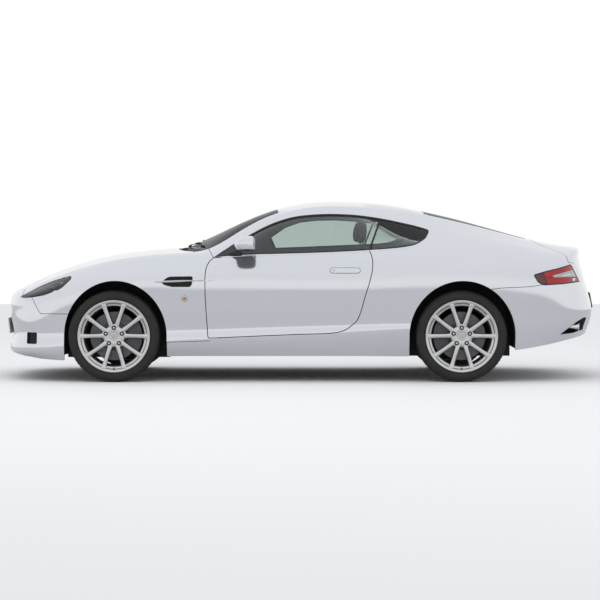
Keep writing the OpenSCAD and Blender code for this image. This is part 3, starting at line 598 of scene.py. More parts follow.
M["red"] = mat("tail_red", (0.36, 0.006, 0.008), 0.14, coat=0.5, var=0.15, vscale=14, bump=0.25, bscale=240, bkind="cells", emit=(0.6, 0.01, 0.01), emit_s=0.05)
M["darkred"] = mat("tail_dark_red", (0.10, 0.004, 0.006), 0.14, coat=1.0, var=0.2, vscale=14, bump=0.2, bscale=240, bkind="cells")
M["greylens"] = mat("tail_grey", (0.42, 0.44, 0.44), 0.2, coat=1.0, var=0.08, vscale=20, bump=0.3, bscale=200, bkind="cells")
M["clearlens"] = mat("tail_clear", (0.75, 0.76, 0.76), 0.12, coat=1.0, var=0.06, vscale=20, bump=0.3, bscale=160, bkind="cells")
M["orange"] = mat("orange_lens", (0.55, 0.22, 0.05), 0.15, coat=1.0, var=0.1, vscale=30, bump=0.2, bscale=260, bkind="cells")
M["plate"] = mat("blank_plate", (0.72, 0.72, 0.70), 0.35, var=0.03, bump=0.04, bscale=120)
M["frit"] = mat("glass_border", (0.030, 0.036, 0.035), 0.45, var=0.06, vscale=10, bump=0.05, bscale=400)
M["screen"] = mat("dial_glass", (0.02, 0.022, 0.025), 0.08, coat=1.0, bump=0.01, bscale=20)

# ------------------------------------------------------------------ outlines (mm)
def span(P, n=6):
    """open smooth curve through the points"""
    P = np.array(P, float); E = np.concatenate([2 * P[:1] - P[1:2], P, 2 * P[-1:] - P[-2:-1]]); out = []
    for i in range(len(P) - 1):
        a, b, c, d = E[i], E[i + 1], E[i + 2], E[i + 3]
        for k in range(n):
            t = k / n
            out.append(tuple(0.5 * ((2 * b) + (c - a) * t + (2 * a - 5 * b + 4 * c - d) * t * t + (3 * b - a - 3 * c + d) * t ** 3)))
    out.append(tuple(P[-1])); return out

def twin(h):
    return list(h) + [(p[0], -p[1]) for p in h[::-1]]

WIN_TOP = [(651, 940), (585, 984), (520, 1027), (447, 1073), (370, 1116), (290, 1159), (207, 1197), (120, 1227), (30, 1249), (-95, 1263), (-224, 1268), (-320, 1266), (-413, 1261), (-510, 1250), (-603, 1236), (-700, 1218), (-793, 1197), (-860, 1182), (-919, 1166), (-960, 1153)]
WIN_BOT = [(-953, 1084), (-905, 1052), (-848, 1028), (-722, 1009), (-522, 994), (-221, 978), (155, 966), (330, 962), (480, 954), (651, 940)]
WINDOW = span(WIN_TOP, 3) + [(-976, 1146), (-979, 1138), (-976, 1126)] + span(WIN_BOT, 3)[:-1]
DOOR = span([(654, 935), (676, 916), (692, 892), (704, 866), (710, 840), (714, 790), (714, 742), (713, 657), (708, 560), (701, 456), (695, 360)], 3) + \
       [(692, 340), (684, 333)] + span([(660, 333), (300, 349), (0, 361), (-150, 365), (-215, 368), (-285, 376), (-345, 396), (-392, 430), (-431, 469), (-462, 545), (-488, 641), (-516, 730), (-538, 814), (-546, 860), (-547, 907), (-540, 950), (-526, 986)], 3) + \
       span([(-524, 988), (-221, 972), (155, 960), (330, 956), (480, 948), (654, 935)], 3)[:-1]
DOORWIN = [(700, 800), (700, 1400), (-612, 1400), (-612, 1240), (-604, 1236), (-534, 1020), (-522, 900)]
SILL = [(1003, 120), (1003, 301), (693, 312), (300, 326), (0, 340), (-215, 348), (-345, 374), (-436, 392), (-640, 400), (-823, 404), (-823, 120)]
FBUMP = [(1600, 60), (1600, 514), (1957, 514), (1975, 534), (1990, 560), (2040, 645), (2120, 640), (2133, 800), (2500, 900), (2500, 60)]
RBUMP = [(-1430, 60), (-1430, 700), (-1506, 710), (-1734, 720), (-1833, 735), (-2136, 750), (-2500, 750), (-2500, 60)]
HEAD = span([(2133, 635), (2080, 664), (2020, 696), (1970, 721), (1917, 742), (1870, 760), (1830, 772), (1786, 786), (1750, 795)], 3) + [(1738, 794), (1731, 787)] + span([(1733, 775), (1762, 744), (1807, 704), (1870, 678), (1931, 655), (1980, 645), (2030, 637), (2097, 631), (2133, 635)], 3)[:-1]
TAILL = round_poly([(-1757, 808), (-1850, 834), (-1960, 858), (-2064, 884), (-2136, 752), (-1990, 738), (-1833, 730), (-1790, 752)], 14)
VENT = round_poly([(1041, 750), (1010, 782), (980, 796), (815, 798), (805, 790), (812, 735), (826, 717), (960, 717), (1020, 732)], 12)
FREAR = [(700, 1600), (700, 1012), (655, 940), (600, 900), (600, 60), (-2500, 60), (-2500, 1600)]
EXH = round_poly([(-1966, 353), (-2010, 384), (-2095, 444), (-2160, 477), (-2300, 480), (-2300, 380), (-2150, 380), (-2078, 362)], 10)
BONNET = twin(span([(955, 60), (942, 250), (905, 450), (850, 600), (806, 668)], 4) + [(800, 690), (804, 712)] + span([(830, 716), (1100, 728), (1400, 712), (1600, 676), (1720, 648), (1800, 622), (1900, 582), (2000, 524), (2070, 466), (2140, 382), (2185, 300), (2212, 200), (2228, 100), (2232, 40)], 4))
COWL = twin(span([(958, 60), (945, 250), (908, 452), (852, 604), (798, 676)], 4) + [(745, 672)] + span([(800, 560), (838, 400), (858, 200), (862, 60)], 4)[1:])
WSCREEN = twin(span([(862, 60), (858, 200), (838, 400), (800, 560)], 4) + [(756, 650), (745, 665), (735, 668)] + span([(700, 655), (620, 630), (470, 602), (330, 576), (200, 546)], 4) + [(178, 538), (170, 524), (170, 500)] + span([(174, 440), (178, 300), (184, 60)], 4))
ROOF = twin(span([(184, 60), (178, 300), (174, 440), (170, 500)], 4)[::1] + [(170, 540)] + span([(0, 528), (-340, 516), (-660, 514), (-950, 506)], 4) + span([(-962, 460), (-940, 300), (-922, 60)], 4))
RWIN = twin(span([(-922, 60), (-930, 200), (-942, 320), (-958, 430)], 4) + [(-968, 466), (-990, 484), (-1020, 486)] + span([(-1100, 482), (-1300, 466), (-1500, 440), (-1660, 412)], 4) + [(-1716, 396), (-1738, 374), (-1746, 340)] + span([(-1752, 280), (-1760, 150), (-1762, 60)], 4))
LID = twin(span([(-1784, 60), (-1788, 320), (-1802, 430), (-1850, 510), (-1940, 584), (-2020, 636), (-2046, 700)], 4) + [(-2300, 700), (-2300, 60)])
LID_B = [(-560, 752), (560, 752), (610, 900), (-610, 900)]
GRILLE = round_poly([(-395, 470), (-360, 452), (360, 452), (395, 470), (425, 505), (400, 540), (235, 582), (-235, 582), (-400, 540), (-425, 505)], 40)
INTAKE = round_poly([(-400, 272), (400, 272), (425, 300), (340, 334), (-340, 334), (-425, 300)], 20)
SIDEIN = round_poly([(1989, 284), (2071, 284), (2071, 371), (1989, 371)], 12)
GAP = 6.0; SHUT = 4.0

def arch(cx, x0, x1, a, g=0):
    """wheel opening, with its straight lower ends"""
    P = [(x1 + g, 60), (x1 + g, 346)]
    for k in range(1, 48):
        t = math.pi * k / 48
        c = math.cos(t)
        P.append((cx + (a + g) * c if abs((a + g) * c) < 1e9 else 0, 346 + (418 + g) * math.sin(t)))
    return P + [(x0 - g, 346), (x0 - g, 60)]
ARCH_F = arch(1390, 1003, 1777, 387)
ARCH_R = arch(-1222, -1622, -823, 400)

def Y(P, g=0, lo=-1200, hi=1200): return prism(offset_poly(P, g), lo, hi, 'y')
def Z(P, g=0, lo=600, hi=1600): return prism(offset_poly(P, g), lo, hi, 'z')
def X(P, g=0, lo=-2400, hi=2400): return prism(offset_poly(P, g), lo, hi, 'x')

T_SKIN = 22
WALL = wall(0, T_SKIN); WALL.name = "wall_keep"

def from_wall():
    q = bpy.data.objects.new("panel", WALL.data.copy()); sc.collection.objects.link(q); return q

def finish_panel(name, o, body_name, nodes, m=None, skin=True, slot="paint"):
    o.name = name; o.data.name = name
    o.data.materials.clear(); o.data.materials.append(m or M["paint"])
    clean(o)
    shade(o, 30, skin)
    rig.ride(o, body_name)
    if nodes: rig.replaces(o, *nodes)
    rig.slot(o, slot)
    return o

def put(o, name, body_name, slot, nodes=(), m=None, angle=35):
    o.name = name; o.data.name = name
    if m: o.data.materials.clear(); o.data.materials.append(m)
    shade(o, angle)
    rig.ride(o, body_name)
    if nodes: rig.replaces(o, *nodes)
    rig.slot(o, slot)
    return o

CH = "chassis"
# fenders
f = common(from_wall(), Y([(560, 60), (560, 1500), (2140, 1500), (2140, 60)]))
for P, g in ((FREAR, SHUT / 2), (SILL, SHUT / 2), (FBUMP, SHUT / 2), (ARCH_F, 0), (HEAD, 2), (VENT, 0), (DOOR, GAP / 2)): f = cut(f, Y(P, g))
f = cut(f, Y([(867 + 24 * math.cos(a * math.pi / 20), 630 + 24 * math.sin(a * math.pi / 20)) for a in range(40)]))
f = cut(f, Z(BONNET, GAP / 2, 640)); f = cut(f, Z(COWL, SHUT / 2)); f = cut(f, Z(WSCREEN, SHUT / 2))
finish_panel("fender_skins", f, CH, ["front_fenders"])
# front bumper
f = common(from_wall(), Y(FBUMP, -SHUT / 2))
for P, g in ((ARCH_F, 0), (HEAD, 2), (SIDEIN, 0)): f = cut(f, Y(P, g))
f = cut(f, Z(BONNET, GAP / 2, 640)); f = cut(f, X(GRILLE, 0, 1990)); f = cut(f, X(INTAKE, 0, 1990))
finish_panel("front_bumper_skin", f, CH, ["front_bumper"])
# bonnet
f = common(from_wall(), Z(BONNET, -GAP / 2, 640))
finish_panel("bonnet_skin", f, "bonnet_body", ["bonnet"])
# boot lid
f = from_wall(); g = Z(LID, -GAP / 2, 897); h = X(LID_B, -GAP / 2, -2400, -2043); c = join_solid(g, h)
f = common(f, c)
finish_panel("boot_lid_skin", f, "boot_lid_body", ["boot_lid"])
# doors
f = common(from_wall(), Y(DOOR, -GAP / 2, 300))
DOOR_C = [(652, 934), (691, 892), (708, 846), (714, 742), (713, 657), (701, 456), (693, 332), (300, 349), (0, 361), (-215, 368), (-345, 396), (-431, 469), (-488, 641), (-538, 814), (-547, 907), (-524, 988), (-221, 972), (155, 960), (330, 956)]
BELOW = [(-700, 250), (900, 250), (900, 918), (-700, 918)]
f3 = common(common(wall(T_SKIN - 1, 78, False), Y(DOOR_C, -26, 300)), Y(BELOW)); clean(f3); f3.data.materials.clear(); f3.data.materials.append(M["paint"])
f = joined("door_l", [f, f3]); f2 = mirrored(f)
for o, sd in ((f, "left"), (f2, "right")):
    finish_panel("door_skin_" + sd, o, "door_%s_body" % sd, ["door_" + sd])
# roof
f = common(from_wall(), Z(ROOF, -SHUT / 2, 1000))
finish_panel("roof_skin", f, CH, ["roof_panel"])
# body sides with the quarters and the sills
f = common(from_wall(), Y([(700, 1600), (700, 1012), (655, 940), (600, 900), (600, 326), (693, 312), (1003, 301), (1003, 60), (-2500, 60), (-2500, 1600)], -SHUT / 2))
for P, g in ((RBUMP, SHUT / 2), (ARCH_R, 0), (ARCH_F, 0), (TAILL, 2), (WINDOW, 0), (DOOR, GAP / 2)): f = cut(f, Y(P, g))
for P in (COWL, WSCREEN, ROOF, RWIN): f = cut(f, Z(P, SHUT / 2))
f = cut(f, Z(LID, GAP / 2, 894)); f = cut(f, X(LID_B, GAP / 2, -2400, -2040))
finish_panel("body_side_skins", f, CH, ["body_sides", "sills"])
# rear bumper
f = common(from_wall(), Y(RBUMP, -SHUT / 2))
for P, g in ((ARCH_R, 0), (TAILL, 2)): f = cut(f, Y(P, g))
f = cut(f, Z(LID, GAP / 2, 894)); f = cut(f, X(LID_B, GAP / 2, -2400, -2040))
for lo, hi in ((430, 900), (-900, -430)): f = cut(f, Y(EXH, 0, lo, hi))
finish_panel("rear_bumper_skin", f, CH, ["rear_bumper"])

# glass
def glass_from(a, b, cutter, name, body_name, nodes, m=None):
    o = common(wall(a, b), cutter); clean(o)
    o.name = name; o.data.materials.clear(); o.data.materials.append(m or M["glass"])
    shade(o, 30, True, 0.012)
    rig.ride(o, body_name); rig.replaces(o, *nodes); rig.slot(o, "glass")
    return o
glass_from(0, 5, Z(WSCREEN, -SHUT / 2, 900), "windscreen_pane", CH, ["windscreen"], M["wglass"])
glass_from(0, 5, Z(RWIN, -SHUT / 2, 900), "rear_window_pane", CH, ["rear_window"], M["wglass"])
g = common(wall(5, 9), Y(WINDOW, -2, 300)); q = cut(g, Y(DOORWIN, 3))
g2 = mirrored(q); q = joined("quarter_panes", [q, g2]); q.data.materials.clear(); q.data.materials.append(M["glass"]); clean(q); shade(q, 30, True, 0.012)
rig.ride(q, CH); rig.replaces(q, "quarter_glass"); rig.slot(q, "glass")
g = common(common(wall(5, 9), Y(WINDOW, -GAP / 2, 300)), Y(DOORWIN, 0))
g = cut(g, Y([(492, 700), (492, 1400), (800, 1400), (800, 700)]))
clean(g); g2 = mirrored(g)
for o, sd in ((g, "left"), (g2, "right")):
    o.name = "door_pane_" + sd; o.data.materials.clear(); o.data.materials.append(M["glass"]); shade(o, 30, True, 0.012)
    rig.ride(o, "door_%s_body" % sd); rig.replaces(o, "door_glass_" + sd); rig.slot(o, "glass")

# ------------------------------------------------------------------ mesh makers
def revolve(prof, n=96, closed=True, a0=0.0, a1=2 * math.pi):
    """profile of (radius, y) in metres turned round the Y axis; closed profile, outward when it runs anticlockwise in (y, r)"""
    P = list(prof); m = len(P); full = abs(a1 - a0 - 2 * math.pi) < 1e-6
    N = n if full else n + 1
    V = [(r * math.cos(a0 + (a1 - a0) * i / n), y, r * math.sin(a0 + (a1 - a0) * i / n)) for i in range(N) for r, y in P]
    F = []
    for i in range(n):
        for k in range(m if closed else m - 1):
            a, b = i * m + k, i * m + (k + 1) % m
            j = (i + 1) % N
            F.append([a, b, j * m + (k + 1) % m, j * m + k])
    if not full and closed:
        F.append(list(range(m))[::-1]); F.append([n * m + k for k in range(m)])
    return V, F

def obj_from(V, F, m=None, name="piece"):
    o = new_obj(name, V, F, m)
    b = bmesh.new(); b.from_mesh(o.data)
    bmesh.ops.remove_doubles(b, verts=b.verts[:], dist=1e-7)
    bmesh.ops.recalc_face_normals(b, faces=b.faces[:])
    b.to_mesh(o.data); b.free()
    return o

def rev_obj(prof, n=96, m=None, name="turned", closed=True):
    V, F = revolve(prof, n, closed); return obj_from(V, F, m, name)

def loft(rings, m=None, name="loft", cap=True, closed_ring=True):
    """rings: list of lists of points, joined in order"""
    n = len(rings[0]); V = [p for r in rings for p in r]; F = []
    for i in range(len(rings) - 1):
        for k in range(n if closed_ring else n - 1):
            F.append([i * n + k, i * n + (k + 1) % n, (i + 1) * n + (k + 1) % n, (i + 1) * n + k])
    if cap:
        F.append(list(range(n))[::-1]); F.append([(len(rings) - 1) * n + k for k in range(n)])
    return obj_from(V, F, m, name)

def tube(path, r, m=None, name="tube", n=10, ry=None, cap=True, up=(0, 0, 1)):
    """round or oval bar along a path; r may be a list"""
    P = [Vector(p) for p in path]; rings = []
    rr = r if isinstance(r, (list, tuple)) else [r] * len(P)
    for i, p in enumerate(P):
        t = (P[min(i + 1, len(P) - 1)] - P[max(i - 1, 0)]).normalized()
        s = t.cross(Vector(up))
        if s.length < 1e-4: s = t.cross(Vector((1, 0, 0)))
        s.normalize(); q = s.cross(t)
        k = 1.0 if ry is None else ry
        rings.append([tuple(p + s * (rr[i] * math.cos(2 * math.pi * a / n)) + q * (rr[i] * k * math.sin(2 * math.pi * a / n))) for a in range(n)])
    return loft(rings, m, name, cap)

def rounded_box(lo, hi, r=0.01, seg=3, m=None, name="block"):
    b = bmesh.new(); bmesh.ops.create_cube(b, size=1.0)
    lo, hi = Vector(lo), Vector(hi); c = (lo + hi) / 2; s = hi - lo
    for v in b.verts: v.co = Vector((v.co.x * s.x, v.co.y * s.y, v.co.z * s.z)) + c
    bmesh.ops.bevel(b, geom=b.edges[:] + b.verts[:], offset=r, segments=seg, profile=0.6, affect="EDGES", clamp_overlap=True)
    me = bpy.data.meshes.new(name); b.to_mesh(me); b.free()
    if m: me.materials.append(m)
    o = bpy.data.objects.new(name, me); sc.collection.objects.link(o); return o

def xform(o, M4):
    o.data.transform(M4)
    if M4.to_3x3().determinant() < 0: o.data.flip_normals()
    return o

def move(o, x=0, y=0, z=0): return xform(o, Matrix.Translation((x, y, z)))

def bevel_obj(o, w, seg=2, angle=40):
    m = o.modifiers.new("v", "BEVEL"); m.width = w; m.segments = seg; m.limit_method = "ANGLE"; m.angle_limit = math.radians(angle)
    return apply_mods(o)

def subdiv(o, lv=1):
    m = o.modifiers.new("s", "SUBSURF"); m.levels = lv; m.render_levels = lv
    return apply_mods(o)

def apply_mods(o):
    dg = bpy.context.evaluated_depsgraph_get(); dg.update()
    me = bpy.data.meshes.new_from_object(o.evaluated_get(dg)); old = o.data
    o.modifiers.clear(); o.data = me; bpy.data.meshes.remove(old); return o

def copy_of(o):
    q = bpy.data.objects.new(o.name, o.data.copy()); sc.collection.objects.link(q); return q

# ------------------------------------------------------------------ wheels (left side, wheel centre at x=z=0, outer face towards +Y)
FACE = 0.900

def tyre_obj(w):
    c = FACE - w / 2; h = w / 2
    # profile from the inner bead, over the tread, to the outer bead
    side = [(0.258, 0.016), (0.263, 0.010), (0.270, 0.0065), (0.2745, 0.0085), (0.277, 0.0065), (0.284, 0.0025), (0.294, 0.0006), (0.304, 0.0), (0.314, 0.0012), (0.322, 0.0035), (0.3235, 0.0047), (0.3245, 0.0042), (0.331, 0.0075), (0.3365, 0.012), (0.3405, 0.018), (0.3430, 0.025)]
    prof = [(r, c - h + d) for r, d in side]
    flat = h - 0.030
    gr = [-0.66, -0.24, 0.24, 0.66]; gw = 0.0045
    ys = [-flat]
    for g in gr: ys += [g * flat - gw - 0.0008, g * flat - gw, g * flat + gw, g * flat + gw + 0.0008]
    ys.append(flat)
    for i, y in enumerate(ys):
        deep = (i % 4 in (2, 3)) and 0 < i < len(ys) - 1
        r = 0.3458 - 0.0022 * abs(y / flat) ** 3
        prof.append((r - (0.007 if deep else 0), c + y))
    prof += [(r, c + h - d) for r, d in side[::-1]]
    ins = [(0.262, c + h - 0.030), (0.300, c + h - 0.020), (0.330, c + h - 0.045), (0.330, c - h + 0.045), (0.300, c - h + 0.020), (0.262, c - h + 0.030)]
    n = 288; outer = len(prof); P = prof + ins; m = len(P)
    V = []
    for i in range(n):
        a = 2 * math.pi * i / n; ca, sa = math.cos(a), math.sin(a)
        for k, (r, y) in enumerate(P):
            e = abs(y - c)
            if k < outer and r > 0.3362 and e > flat * 0.70:           # cross cuts over the shoulders
                if i % 4 == 0: r -= 0.0045 * min(1, (r - 0.335) / 0.006)
            elif k < outer and r > 0.342 and flat * 0.28 < e < flat * 0.62 and i % 4 == 2: r -= 0.004
            V.append((r * ca, y, r * sa))
    F = [[i * m + k, i * m + (k + 1) % m, ((i + 1) % n) * m + (k + 1) % m, ((i + 1) % n) * m + k] for i in range(n) for k in range(m)]
    return obj_from(V, F, M["tyre"], "tyre")

def spoke(c, k):
    """one spoke of a pair: c the pair's middle angle, k its side"""
    rings = []
    st = [(0.050, 11.0, 0.052, 0.878, 0.034), (0.072, 14.5, 0.040, 0.884, 0.032), (0.095, 15.6, 0.0350, 0.887, 0.030), (0.125, 16.4, 0.0320, 0.889, 0.029), (0.160, 17.0, 0.0310, 0.890, 0.028),
          (0.200, 17.5, 0.0315, 0.891, 0.027), (0.228, 17.8, 0.0350, 0.893, 0.027), (0.246, 18.0, 0.042, 0.8955, 0.027), (0.258, 18.0, 0.052, 0.897, 0.024)]
    for r, off, w, yf, th in st:
        a = math.radians(c + k * off)
        er = Vector((math.cos(a), 0, math.sin(a))); et = Vector((-math.sin(a), 0, math.cos(a)))
        ring = []
        sec = [(-0.50, -1.0), (-0.52, -0.45), (-0.44, -0.12), (-0.24, -0.015), (0.0, 0.02), (0.24, -0.015), (0.44, -0.12), (0.52, -0.45), (0.50, -1.0), (0.0, -1.0)]
        for s, d in sec:
            ring.append(tuple(er * r + et * (s * w) + Vector((0, yf + d * th, 0))))
        rings.append(ring)
    o = loft(rings, M["rim"], "spoke")
    return subdiv(o, 1)

# near-black inner barrel of the rim: painted shade deep inside the wheel
M["barrel"] = mat("rim_barrel_painted_shade", (0.085, 0.085, 0.087), 0.55, metal=0.5, var=0.1, vscale=10, bump=0.1, bscale=300)
def rim_obj(w):
    yi = FACE - w
    prof = [(0.2725, 0.8965), (0.2715, 0.8995), (0.2680, 0.9008), (0.2640, 0.8998), (0.2590, 0.8970), (0.2530, 0.8935), (0.2490, 0.8890), (0.2470, 0.8830), (0.2440, 0.8790), (0.2385, 0.8760), (0.2330, 0.8735), (0.2290, 0.8690), (0.2255, 0.8600),
            (0.2225, 0.8450), (0.2205, 0.8200), (0.2190, 0.7800), (0.2190, 0.7300), (0.2250, yi + 0.045), (0.2400, yi + 0.020), (0.2560, yi + 0.006), (0.2680, yi - 0.0006), (0.2720, yi + 0.001), (0.2725, yi + 0.004),
            (0.2660, yi + 0.008), (0.2560, yi + 0.020), (0.2500, yi + 0.040), (0.2300, yi + 0.065), (0.2260, 0.7300), (0.2270, 0.8200), (0.2400, 0.8600), (0.2520, 0.8720), (0.2560, 0.8860), (0.2640, 0.8930)]
    ring = rev_obj([(r, y) for r, y in prof], 144, M["rim"], "ring"); ring.data.materials.append(M["barrel"])
    # faces deep inside the rim take the near-black barrel colour as painted shade
    for p_ in ring.data.polygons:
        if p_.center.y < 0.871 and math.hypot(p_.center.x, p_.center.z) < 0.262: p_.material_index = 1
    hub = rev_obj([(0.0001, 0.8790), (0.028, 0.8795), (0.036, 0.8815), (0.050, 0.8835), (0.064, 0.8840), (0.074, 0.8815), (0.080, 0.8760), (0.082, 0.8640), (0.081, 0.8590), (0.060, 0.8585), (0.0001, 0.8585)], 96, M["rim"], "hub", closed=False)
    parts = [ring, hub]
    for c in range(90, 450, 72):
        for k in (-1, 1): parts.append(spoke(c, k))
    # webs that close each V at the hub
    for c in range(90, 450, 72):
        a = math.radians(c); er = Vector((math.cos(a), 0, math.sin(a))); et = Vector((-math.sin(a), 0, math.cos(a)))
        rings = []
        for r, w_, yf in ((0.060, 0.034, 0.8815), (0.075, 0.036, 0.8800), (0.086, 0.030, 0.8770), (0.091, 0.022, 0.8730)):
            rings.append([tuple(er * r + et * (s * w_ / 2) + Vector((0, y, 0))) for s, y in ((-1, 0.860), (-1, yf), (0, yf + 0.0005), (1, yf), (1, 0.860))])
        parts.append(loft(rings, M["rim"], "web"))
    # nuts in dark seats: the black discs round the nuts are painted shade of the lug holes
    for i in range(5):
        a = math.radians(90 + 72 * i); cx, cz = 0.064 * math.cos(a), 0.064 * math.sin(a)
        seat = rev_obj([(0.0001, 0.8846), (0.0150, 0.8847), (0.0158, 0.8857), (0.0170, 0.8856), (0.0174, 0.8840), (0.0170, 0.8700), (0.0001, 0.8700)], 40, M["gloss_black"], "seat", closed=False)
        nut_p = [(0.0001, 0.8915), (0.0055, 0.8913), (0.0075, 0.8898), (0.0090, 0.8870), (0.0092, 0.8840), (0.0001, 0.8838)]
        nut = rev_obj(nut_p, 6, M["chrome"], "nut", closed=False)
        for q in (seat, nut): parts.append(move(q, cx, 0, cz))
    cap = rev_obj([(0.0001, 0.8868), (0.012, 0.8866), (0.020, 0.8860), (0.0255, 0.8850), (0.0275, 0.8858), (0.0300, 0.8856), (0.0318, 0.8838), (0.0325, 0.8780), (0.0001, 0.8780)], 64, M["satin_metal"], "cap", closed=False)
    badge = rev_obj([(0.0001, 0.8874), (0.010, 0.8873), (0.0175, 0.8868), (0.0178, 0.8860), (0.0001, 0.8860)], 48, M["cap_disc"], "cap_disc", closed=False)
    valve = rev_obj([(0.0001, 0.914), (0.0032, 0.9135), (0.0038, 0.912), (0.0038, 0.898), (0.0046, 0.896), (0.0046, 0.886), (0.0001, 0.886)], 16, M["seal"], "valve", closed=False)
    parts += [cap, badge, move(valve, 0, -0.012, -0.2405)]
    return parts

M["cap_disc"] = mat("cap_disc", (0.55, 0.53, 0.40), 0.3, metal=0.6, var=0.15, vscale=60, coat=0.5, bump=0.05, bscale=200)

def disc_parts():
    d = rev_obj([(0.182, 0.8285), (0.1835, 0.8270), (0.1835, 0.8200), (0.176, 0.8195), (0.176, 0.8105), (0.1835, 0.8100), (0.1835, 0.8020), (0.182, 0.8005), (0.110, 0.8005), (0.110, 0.8105), (0.118, 0.8105), (0.118, 0.8195), (0.110, 0.8195), (0.110, 0.8290)], 128, M["disc"], "rotor")
    hat = rev_obj([(0.112, 0.8285), (0.094, 0.8290), (0.086, 0.8330), (0.083, 0.8420), (0.080, 0.8545), (0.074, 0.8560), (0.040, 0.8560), (0.030, 0.8500), (0.0285, 0.8470), (0.0285, 0.8440), (0.062, 0.8440), (0.076, 0.8420), (0.078, 0.8250), (0.112, 0.8240)], 96, M["cast"], "hat")
    vanes = []
    for i in range(36):
        a = 2 * math.pi * i / 36; ca, sa = math.cos(a), math.sin(a)
        P = [(0.119, -0.0022), (0.177, -0.0022), (0.177, 0.0022), (0.119, 0.0022)]
        V = [(r * ca - t * sa, y, r * sa + t * ca) for y in (0.8100, 0.8200) for r, t in P]
        vanes.append(obj_from(V, [[0, 1, 2, 3], [4, 7, 6, 5], [0, 4, 5, 1], [1, 5, 6, 2], [2, 6, 7, 3], [3, 7, 4, 0]], M["disc"], "vane"))
    slot_shade_strips = []
    for i in range(12):                      # shallow cross slots on the rubbing face, drawn as black strips: painted shade in the grooves
        a = math.radians(30 * i); pts = []
        for t in np.linspace(0, 1, 7):
            r = 0.120 + 0.056 * t; b = a + 0.30 * t
            pts.append((r * math.cos(b), 0.8291, r * math.sin(b)))
        slot_shade_strips.append(tube(pts, 0.0013, M["gloss_black"], "slot", 6, ry=0.25, up=(0, 1, 0)))
    return [d, hat] + vanes + slot_shade_strips

def place_wheel(parts, name, cx, side, body_name, nodes, slot):
    o = joined(name, parts)
    M4 = Matrix.Translation((cx, 0, 0.346))
    if side < 0: M4 = Matrix.Translation((cx, 0, 0.346)) @ Matrix.Scale(-1, 4, (0, 1, 0))
    xform(o, M4)
    return put(o, name, body_name, slot, nodes, None, 38)

for w_, cx, ax in ((0.240, 1.401, "front"), (0.280, -1.217, "rear")):
    base_t = tyre_obj(w_); base_r = joined("rim_base", rim_obj(w_)); base_d = joined("disc_base", disc_parts())
    for sd, sg in (("left", 1), ("right", -1)):
        bn = "road_wheel_%s_%s" % (ax, sd)
        place_wheel([copy_of(base_t)], "tyre_tread_%s_%s" % (ax, sd), cx, sg, bn, ["tyre_%s_%s" % (ax, sd)], "tyre")
        place_wheel([copy_of(base_r)], "rim_%s_%s" % (ax, sd), cx, sg, bn, ["wheel_%s_%s" % (ax, sd)], "rim")
        place_wheel([copy_of(base_d)], "disc_%s_%s" % (ax, sd), cx, sg, bn, ["brake_disc_%s_%s" % (ax, sd)], "disc_steel")
    for o in (base_t, base_r, base_d): remove(o)

# ------------------------------------------------------------------ on the skin: strips, frames and small trim
def skin_pt(x, z, side=1, lift=0.0):
    """point on the outer skin at (x, z) in mm, seen from the side; returns position and normal in metres"""
    best = None
    o = Vector((x / 1000, 2.0, z / 1000))
    loc, n, idx, dist = SKIN.ray_cast(o, Vector((0, -1, 0)))
    if loc is None:
        loc, n, idx, dist = SKIN.find_nearest(Vector((x / 1000, 0.8, z / 1000)))
    nn, _ = skin_normal(loc)
    p = loc + nn * lift
    if side < 0: p = Vector((p.x, -p.y, p.z)); nn = Vector((nn.x, -nn.y, nn.z))
    return p, nn

def resample(P, step):
    P = [np.array(p, float) for p in P]; d = [0]
    for a, b in zip(P[:-1], P[1:]): d.append(d[-1] + np.linalg.norm(b - a))
    n = max(2, int(round(d[-1] / step)) + 1); out = []
    for t in np.linspace(0, d[-1], n):
        i = min(max(np.searchsorted(d, t) - 1, 0), len(P) - 2)
        w = (t - d[i]) / max(1e-9, d[i + 1] - d[i]); out.append(tuple(P[i] + (P[i + 1] - P[i]) * w))
    return out

def bead(P, wdt, hgt, sink, m, name, closed=False, step=18, side=1, lift=0.0, flat=False):
    """moulding along an (x, z) line in mm lying on the skin; wdt wide, hgt proud, sink deep"""
    Q = resample(P + ([P[0]] if closed else []), step)
    if closed: Q = Q[:-1]
    rings = []; n = len(Q)
    for i, q in enumerate(Q):
        a = Q[i - 1] if (closed or i) else Q[i]; b = Q[(i + 1) % n] if (closed or i < n - 1) else Q[i]
        pa, _ = skin_pt(*a); pb, _ = skin_pt(*b); p, nn = skin_pt(*q)
        t = (pb - pa).normalized(); s = nn.cross(t).normalized()
        p = p + nn * lift
        w = wdt / 2000.0; h = hgt / 1000.0; k = sink / 1000.0
        if flat: sec = [(-w, -k), (-w, h * 0.7), (-w * 0.8, h), (w * 0.8, h), (w, h * 0.7), (w, -k)]
        else: sec = [(-w, -k), (-w, h * 0.3), (-w * 0.72, h * 0.8), (-w * 0.3, h), (w * 0.3, h), (w * 0.72, h * 0.8), (w, h * 0.3), (w, -k)]
        rings.append([tuple(p + s * u + nn * v) for u, v in sec])
    if closed: rings.append(rings[0])
    o = loft(rings, m, name, cap=not closed)
    if side < 0: xform(o, Matrix.Scale(-1, 4, (0, 1, 0)))
    return o

def pair(fn):
    a = fn(); b = mirrored(a); return [a, b]

def slab(P, a, b, m, name, rnd=0):
    """a patch of the skin between depths a and b (mm), cut to an (x, z) outline, left side"""
    o = common(wall(a, b, True), Y(P, 0, 60)); clean(o)
    o.name = name; o.data.materials.clear(); o.data.materials.append(m); shade(o, 30, True, 0.02)
    return o

def ring_poly(cx, cz, r, n=36): return [(cx + r * math.cos(2 * math.pi * k / n), cz + r * math.sin(2 * math.pi * k / n)) for k in range(n)]

def on_skin(o, x, z, side=1, tilt=None):
    """turn a part made round +Y at the origin so it stands on the skin at (x, z)"""
    p, nn = skin_pt(x, z)
    if tilt is not None: nn = Vector(tilt).normalized()
    q = Vector((0, 1, 0)).rotation_difference(nn).to_matrix().to_4x4()
    xform(o, Matrix.Translation(p) @ q)
    return o

